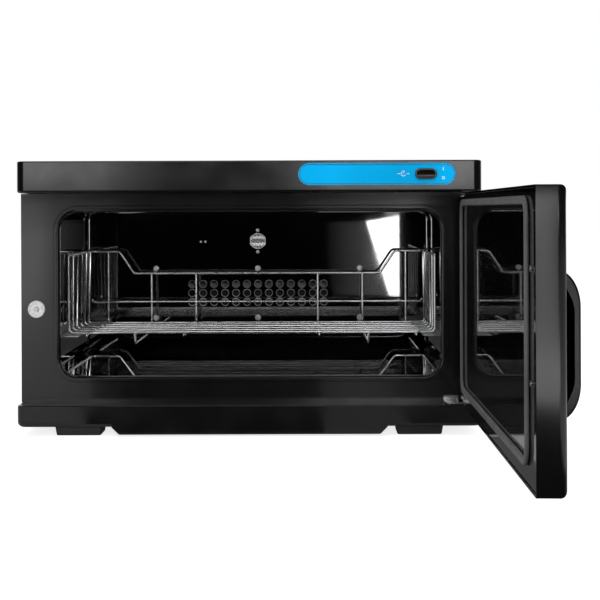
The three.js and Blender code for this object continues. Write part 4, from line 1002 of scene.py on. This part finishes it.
def buildHinges():
    plate, start, back = hinge["plate"], hinge["lowerX"], hinge["lowerBack"]
    low = body["spanZ"][1] + hinge["gap"]
    upper = hingePlate("upperHingeBracket", hinge["upperX"], hinge["upperBack"], low)
    softenRim(upper, alongZ, low, hinge["edge"], 2)
    addPin(upper, low + plate / 2, -1)
    finishPiece(upper, "cabinet", "hingeSteel")
    low = tray["spanZ"][1] + hinge["gap"]
    lower = hingePlate("lowerHingeBracket", start, back, low)
    spanX, spanZ = (start, hinge["uprightX"]), (low, low + plate + hinge["uprightHeight"])
    unite(lower, addPlate("hingeUpright", spanX, (back - plate, back), spanZ, 0.6, 3))
    addPin(lower, low + plate / 2, 1)
    bevelEdges(lower, hinge["edge"], 2, lambda edge: sharpEdge(edge, 70) and bothAt(edge, alongZ, low + plate))
    finishPiece(lower, "cabinet", "hingeSteel")


buildScrews()
buildStrike()
buildHinges()
print("fasteners and hinges built")

# Door, open at a right angle: its outer face looks to the right, its free edge to the front
door = {
    "outer": 225.3, "inner": 204.9, "pan": 204.1, "spanY": (-425.5, 21.9), "spanZ": (30.35, 234.2), "corner": 6.4,
    "edge": 5, "soft": 0.9, "lip": 0.4, "sheet": 1.7, "notch": (39, 1.9), "bushHole": 5.45, "panel": 1,
    "panelInset": 1.9, "panelEdge": 0.5,
}


def notchCutters(inset):
    (length, height), heel = door["notch"], door["spanY"][1]
    spanX, spanY = grown((door["inner"], door["outer"]), 5), (heel - length - inset, heel + 5)
    low, high = grown(door["spanZ"], -inset)
    ends = ((low - 5, low + height), (high - height, high + 5))
    return [addBlock("doorNotch", spanX, spanY, spanZ) for spanZ in ends]


def doorBody(name, inset, start):
    outer, spanY, spanZ = door["outer"] - inset, grown(door["spanY"], -inset), grown(door["spanZ"], -inset)
    piece = addBlock(name, (start, outer), spanY, spanZ)
    bevelEdges(piece, door["corner"] - inset, 10, edgesAlong(alongZ, (alongX, outer)))

    def outerEdge(edge):
        return runsAlong(edge, alongX) or (bothAt(edge, alongX, outer) and not runsAlong(edge, alongZ))

    if not inset:
        bevelEdges(piece, door["soft"], 3, outerEdge)
    profile = addBlock("doorProfile", (start - 5, outer), grown(spanY, 5), spanZ)
    bevelEdges(profile, door["edge"] - inset, 10, edgesAlong(alongY, (alongX, outer)))
    combine(piece, profile, "INTERSECT")
    return piece


def buildDoorShell():
    pan, free = door["pan"], door["spanY"][0]
    piece = doorBody("doorShell", 0, pan)
    cutOut(piece, doorBody("doorHollow", door["sheet"], pan - 5), *notchCutters(0))
    for z in door["spanZ"]:
        cutOut(piece, addDisc("bushHole", (*hinge["pin"], z), door["bushHole"], 34, upright))
    bevelEdges(piece, door["lip"], 4, lambda edge: bothAt(edge, alongX, pan) and bothAt(edge, alongY, free))
    finishPiece(piece, "door", "doorPaint")


def buildInnerPanel():
    inset, inner = door["panelInset"], door["inner"]
    spanY, spanZ = grown(door["spanY"], -inset), grown(door["spanZ"], -inset)
    piece = addBlock("doorInnerPanel", (inner, inner + door["panel"]), spanY, spanZ)
    cutOut(piece, *notchCutters(inset))
    softenRim(piece, alongX, inner, door["panelEdge"], 4)
    for z in doorScrews["levels"].values():
        cutOut(piece, addDisc("screwHole", (inner, doorScrews["free"], z), doorScrews["hole"], 8, sideways, 16))
    finishPiece(piece, "door", "panelPaint")


gasket = {
    "spanY": (-396.5, -8.1), "spanZ": (43.8, 227.4), "corner": 15, "band": 6.0, "proud": 2.8, "seat": 0.3,
    "crestEdge": 1.6, "seatEdge": 1.0,
}


def buildGasket():
    seat = door["inner"] - gasket["seat"]
    crest = seat - gasket["proud"]

    def loop(name, by, spanX):
        spanY, spanZ = grown(gasket["spanY"], -by), grown(gasket["spanZ"], -by)
        return addPlate(name, spanX, spanY, spanZ, gasket["corner"] - by, 14, alongX)

    piece = loop("doorGasket", 0, (crest, seat))
    cutOut(piece, loop("gasketHole", gasket["band"], (crest - 3, seat + 3)))
    softenRim(piece, alongX, crest, gasket["crestEdge"], 6, 0.55)
    softenRim(piece, alongX, seat, gasket["seatEdge"], 4)
    finishPiece(piece, "door", "gasketRubber", smooth=60)


handle = {
    "seat": 225.6, "tip": 242.7, "spanY": (-381.5, -359.5), "centre": 125.0, "half": 51.8, "gapHalf": 39,
    "thick": 6.3, "squash": 0.66, "edge": 1.8, "pegPlace": 47.3,
}


def bow(name, spanX, spanY, half, radius):  # an arch whose shoulders are longer than they are deep
    centre, squash = handle["centre"], handle["squash"]
    piece = addBlock(name, spanX, spanY, spanOf(centre, 2 * half * squash))
    bevelEdges(piece, radius, 12, edgesAlong(alongY, (alongX, spanX[1])))
    stretch = {"value": (1, 1, 1 / squash), "center_override": at(spanX[0], 0, centre)}
    reshape(piece, "VERT", everything, bpy.ops.transform.resize, **stretch)
    return piece


def buildHandle():
    seat, tip, spanY = handle["seat"], handle["tip"], handle["spanY"]
    piece = bow("doorHandle", (seat, tip), spanY, handle["half"], tip - seat - 0.3)
    gapTip = tip - handle["thick"]
    cutOut(piece, bow("handleGap", (seat - 6, gapTip), grown(spanY, 3), handle["gapHalf"], gapTip - seat + 0.5))
    for y in spanY:
        softenRim(piece, alongY, y, handle["edge"], 4)
    for side in (-1, 1):
        place = (seat - 2, sum(spanY) / 2, handle["centre"] + side * handle["pegPlace"])
        unite(piece, addDisc("handlePeg", place, 3, 6, sideways, 24))
    finishPiece(piece, "door", "handlePlastic")


buildDoorShell()
buildInnerPanel()
buildGasket()
buildHandle()
print("door built")

# Baskets
basket = {
    "half": 184.05, "first": 58, "pitch": 24, "count": 6, "back": 200, "tail": 5, "weld": 2.0, "thin": 1.2,
    "thick": 1.35, "bend": 4, "railBend": 6, "heelBend": 5, "hookBend": 3, "uprights": (67.6, 117, 165),
    "railEnd": 153, "dipEnd": 136.5, "lean": 3.4, "hook": 7, "hookRise": 3,
}
upper = {"floor": 95, "rail": 172.5, "dip": 148, "mid": 116.5, "skid": 10, "skidRear": 172}
lower = {"floor": 27.55, "rail": 56, "dip": 33.8}


def basketWires(levels):
    half, back, thin, first = basket["half"], basket["back"], basket["thin"], basket["first"]
    floor, railZ, dip = levels["floor"], levels["rail"], levels["dip"]
    front, under, uprights = first - basket["tail"], floor - basket["weld"], basket["uprights"]
    wires = []

    def addWire(name, corners, bend, radius=thin):
        wires.append(bentWire(name, corners, radius, bend))
        return wires[-1]

    for i in range(basket["count"]):  # the sides fan out a little towards the back
        low = first + i * basket["pitch"]
        top = low + i * basket["lean"]
        corners = [(-half, top, railZ), (-half, low, floor), (half, low, floor), (half, top, railZ)]
        addWire("crossWire", corners, basket["bend"])
    for x in uprights:
        top = railZ if x > basket["railEnd"] else dip
        wire = addWire("longWire", [(-x, front, under), (-x, back, under), (-x, back, top)], basket["heelBend"])
        wires.append(copyPiece(wire, "longWire", (2 * x, 0, 0)))
    rightHalf = [(basket["dipEnd"], dip), (basket["railEnd"], railZ), (half, railZ)]
    corners = [(-half, front, railZ)]
    corners += [(-x, back, z) for x, z in rightHalf[::-1]] + [(x, back, z) for x, z in rightHalf]
    addWire("topRail", corners + [(half, front, railZ)], basket["railBend"], basket["thick"])
    if "mid" in levels:
        side, level, end = half - basket["weld"], levels["mid"], back - basket["hook"]
        high = level + basket["hookRise"]
        corners = [(-side, end, high), (-side, back, level), (side, back, level), (side, end, high)]
        addWire("midRail", corners, basket["hookBend"])
    if "skid" in levels:
        x, low, end = uprights[1], under - levels["skid"] + thin, levels["skidRear"]
        corners = [(-x, first, under), (-x, first, low), (-x, end, low), (-x, end, under)]
        skid = addWire("skidWire", corners, basket["hookBend"])
        wires.append(copyPiece(skid, "skidWire", (2 * x, 0, 0)))
    return wires


def buildBasket(name, levels, owner):
    piece = joinPieces(*basketWires(levels))
    piece.name = piece.data.name = name
    nodes = [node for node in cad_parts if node.startswith(owner)]
    finishPiece(piece, owner, "wireChrome", nodes, 40)


buildBasket("upperBasket", upper, "upper_basket")
buildBasket("lowerBasket", lower, "lower_basket")
print("baskets built")


# Stage: floor, world, lamps and the cards that a glossy black object is lit with
def directMask(owner):  # 1 for what the camera sees straight or through something clear
    path = addNode(owner, "ShaderNodeLightPath")
    seen = addNode(owner, "ShaderNodeMath", operation="MAXIMUM")
    for i, ray in enumerate(("Is Camera Ray", "Is Transmission Ray")):
        link(owner, path.outputs[ray], seen.inputs[i])
    return path, seen.outputs[0]


def glowingMatt(name, color, roughness, strength=0.0):
    sockets = {"Specular_IOR_Level": 0.0, "Emission_Color": (1, 1, 1, 1), "Emission_Strength": strength}
    return newMaterial(name, color, roughness, **sockets)


def buildFloor():
    startAdding()
    bpy.ops.mesh.primitive_plane_add(size=14, location=(0, 2, -0.0004))
    floor = settle("floor")
    material = glowingMatt("paperWhite", (0.8, 0.8, 0.8), 0.9)
    glow = addNode(material, "ShaderNodeMath", operation="MULTIPLY")
    glow.inputs[1].default_value = 0.8
    link(material, directMask(material)[1], glow.inputs[0])
    link(material, glow.outputs[0], shaderOf(material).inputs["Emission Strength"])
    floor.data.materials.append(material)


def buildWorld():
    world = bpy.data.worlds.new("studio")
    bpy.context.scene.world = world
    world.use_nodes = True
    world.node_tree.nodes.clear()
    path, seen = directMask(world)
    axes = addNode(world, "ShaderNodeSeparateXYZ")
    fade = addNode(world, "ShaderNodeMapRange", interpolation_type="SMOOTHSTEP")
    setInputs(fade, From_Min=0.25, From_Max=0.9, To_Min=0.02, To_Max=1.0)
    link(world, addNode(world, "ShaderNodeTexCoord").outputs["Generated"], axes.inputs["Vector"])
    link(world, axes.outputs["Y"], fade.inputs["Value"])
    backgrounds = []
    for strength in (0.4, 1.0, 1.0):
        backgrounds.append(addNode(world, "ShaderNodeBackground"))
        setInputs(backgrounds[-1], Strength=strength, Color=(1, 1, 1, 1))
    ambient, white, glossy = backgrounds
    link(world, fade.outputs["Result"], glossy.inputs["Strength"])
    sky = ambient
    for factor, background in ((seen, white), (path.outputs["Is Glossy Ray"], glossy)):
        mix = addNode(world, "ShaderNodeMixShader")
        link(world, factor, mix.inputs["Fac"])
        link(world, sky.outputs[0], mix.inputs[1])
        link(world, background.outputs[0], mix.inputs[2])
        sky = mix
    link(world, sky.outputs[0], addNode(world, "ShaderNodeOutputWorld").inputs["Surface"])


def addLamp(name, place, target, size, radiance):  # an area lamp given by how bright its face is
    data = bpy.data.lights.new(name, "AREA")
    data.shape = "RECTANGLE"
    data.size, data.size_y = size
    data.energy = math.pi * size[0] * size[1] * radiance
    lamp = bpy.data.objects.new(name, data)
    bpy.context.scene.collection.objects.link(lamp)
    lamp.location = place
    lamp.rotation_euler = (Vector(target) - Vector(place)).to_track_quat("-Z", "Y").to_euler()


def addCard(name, corners, radiance, fade):  # seen only by light and reflections; at 0 it is a dark flag
    startAdding()
    bpy.ops.mesh.primitive_circle_add(vertices=len(corners), fill_type="NGON")
    card = settle(name)
    bpy.ops.object.mode_set(mode="EDIT")
    mesh = bmesh.from_edit_mesh(card.data)
    for vert, corner in zip(mesh.verts, corners):
        vert.co = at(*corner)
    bmesh.update_edit_mesh(card.data)
    done()
    material = glowingMatt(name, (0.003, 0.003, 0.003), 1.0, radiance)
    if fade:  # (x, radiance) at its two ends
        axes = addNode(material, "ShaderNodeSeparateXYZ")
        ramp = addNode(material, "ShaderNodeMapRange")
        (startX, startGlow), (endX, endGlow) = fade
        setInputs(ramp, From_Min=at(startX, 0, 0).x, From_Max=at(endX, 0, 0).x, To_Min=startGlow, To_Max=endGlow)
        link(material, addNode(material, "ShaderNodeTexCoord").outputs["Object"], axes.inputs["Vector"])
        link(material, axes.outputs["X"], ramp.inputs["Value"])
        link(material, ramp.outputs["Result"], shaderOf(material).inputs["Emission Strength"])
    card.data.materials.append(material)
    card.visible_camera = card.visible_shadow = card.visible_transmission = False
    card.visible_diffuse = radiance > 0


def wallCard(*corners, y=-1668):  # corners by x and z, in the plane that the front of the cabinet mirrors
    return [(x, y, z) for x, z in corners]


def tableCard(*corners, z=1):  # corners by x and y
    return [(x, y, z) for x, y in corners]


def boxOf(startX, endX, start, end):
    return (startX, start), (endX, start), (endX, end), (startX, end)


cards = {
    "leftTall": (wallCard(*boxOf(-1100, -530, 0, 234)), 2.6),
    "leftTop": (wallCard(*boxOf(-1100, -365, 236, 900)), 3.6),
    "middleTop": (wallCard(*boxOf(-365, 62, 236, 900)), 0.2),
    "rightTop": (wallCard(*boxOf(62, 760, 236, 900)), 4.9),
    "patchCard": (wallCard((204, 188), (262, 0), (304, 0), (304, 206), (270, 200)), 6.5),
    "patchHalo": (wallCard((90, 186), (120, 0), (262, 0), (204, 188)), 0.3),
    "patchWing": (wallCard((301, 200), (392, 208), (392, 234), (250, 234), (250, 212), (300, 212)), 3.0),
    "doorCard": (wallCard(*boxOf(395, 456, 0, 262)), 2.0),
    "farFlag": (wallCard(*boxOf(-530, 400, 0, 262), y=-1670), 0.0),
    "coverFlag": (tableCard(*boxOf(-1100, 900, -0.6, -900), z=235), 0.0),
    "chamberGlow": (tableCard(*boxOf(-178, 178, 48, 74), z=216.5), 5.0),
    "tableMiddle": (tableCard((-160, -12), (72, -12), (72, -430), (-230, -430)), 0.0),
    "tableRight": (tableCard(*boxOf(72, 158, -12, -430)), 0.4),
    "tableDoor": (tableCard(*boxOf(158, 460, -12, -430)), 0.1),
    "tableFar": (tableCard((-230, -431), (480, -431), (480, -850), (300, -1060), (262, -1667), (-500, -1667)), 0.0),
    "tableGlow": (tableCard((300, -1062), (700, -1062), (760, -1667), (263, -1667)), 2.4),
}
fades = {"patchHalo": ((100, 0.0), (250, 0.22))}
lamps = {
    "topBox": {"place": (0.05, -0.6, 1.4), "target": (0, 0.05, 0.1), "size": (1.3, 0.7), "radiance": 2.5},
    "backBox": {"place": (-0.3, 1.5, 1.3), "target": (0, 0.1, 0.1), "size": (1.2, 0.7), "radiance": 1.6},
}

buildFloor()
buildWorld()
for name, lamp in lamps.items():
    addLamp(name, **lamp)
for name, (corners, radiance) in cards.items():
    addCard(name, corners, radiance, fades.get(name))
print("studio ready")

view = {"place": (56.9, -1300, 218.2), "lens": 81, "roll": 0.2, "shiftX": -0.01333, "shiftY": -0.1505}


def addCamera():
    data = bpy.data.cameras.new("camera")
    data.sensor_width = 36
    data.lens = view["lens"]
    data.shift_x, data.shift_y = view["shiftX"], view["shiftY"]
    data.clip_start, data.clip_end = 0.05, 50
    camera = bpy.data.objects.new("camera", data)
    bpy.context.scene.collection.objects.link(camera)
    camera.location = at(*view["place"])
    camera.rotation_euler = (math.pi / 2, math.radians(view["roll"]), 0)
    bpy.context.scene.camera = camera


addCamera()
bpy.context.scene.view_settings.view_transform = "Standard"
bpy.context.scene.cursor.location = (0, 0, 0)

print("scene ready")
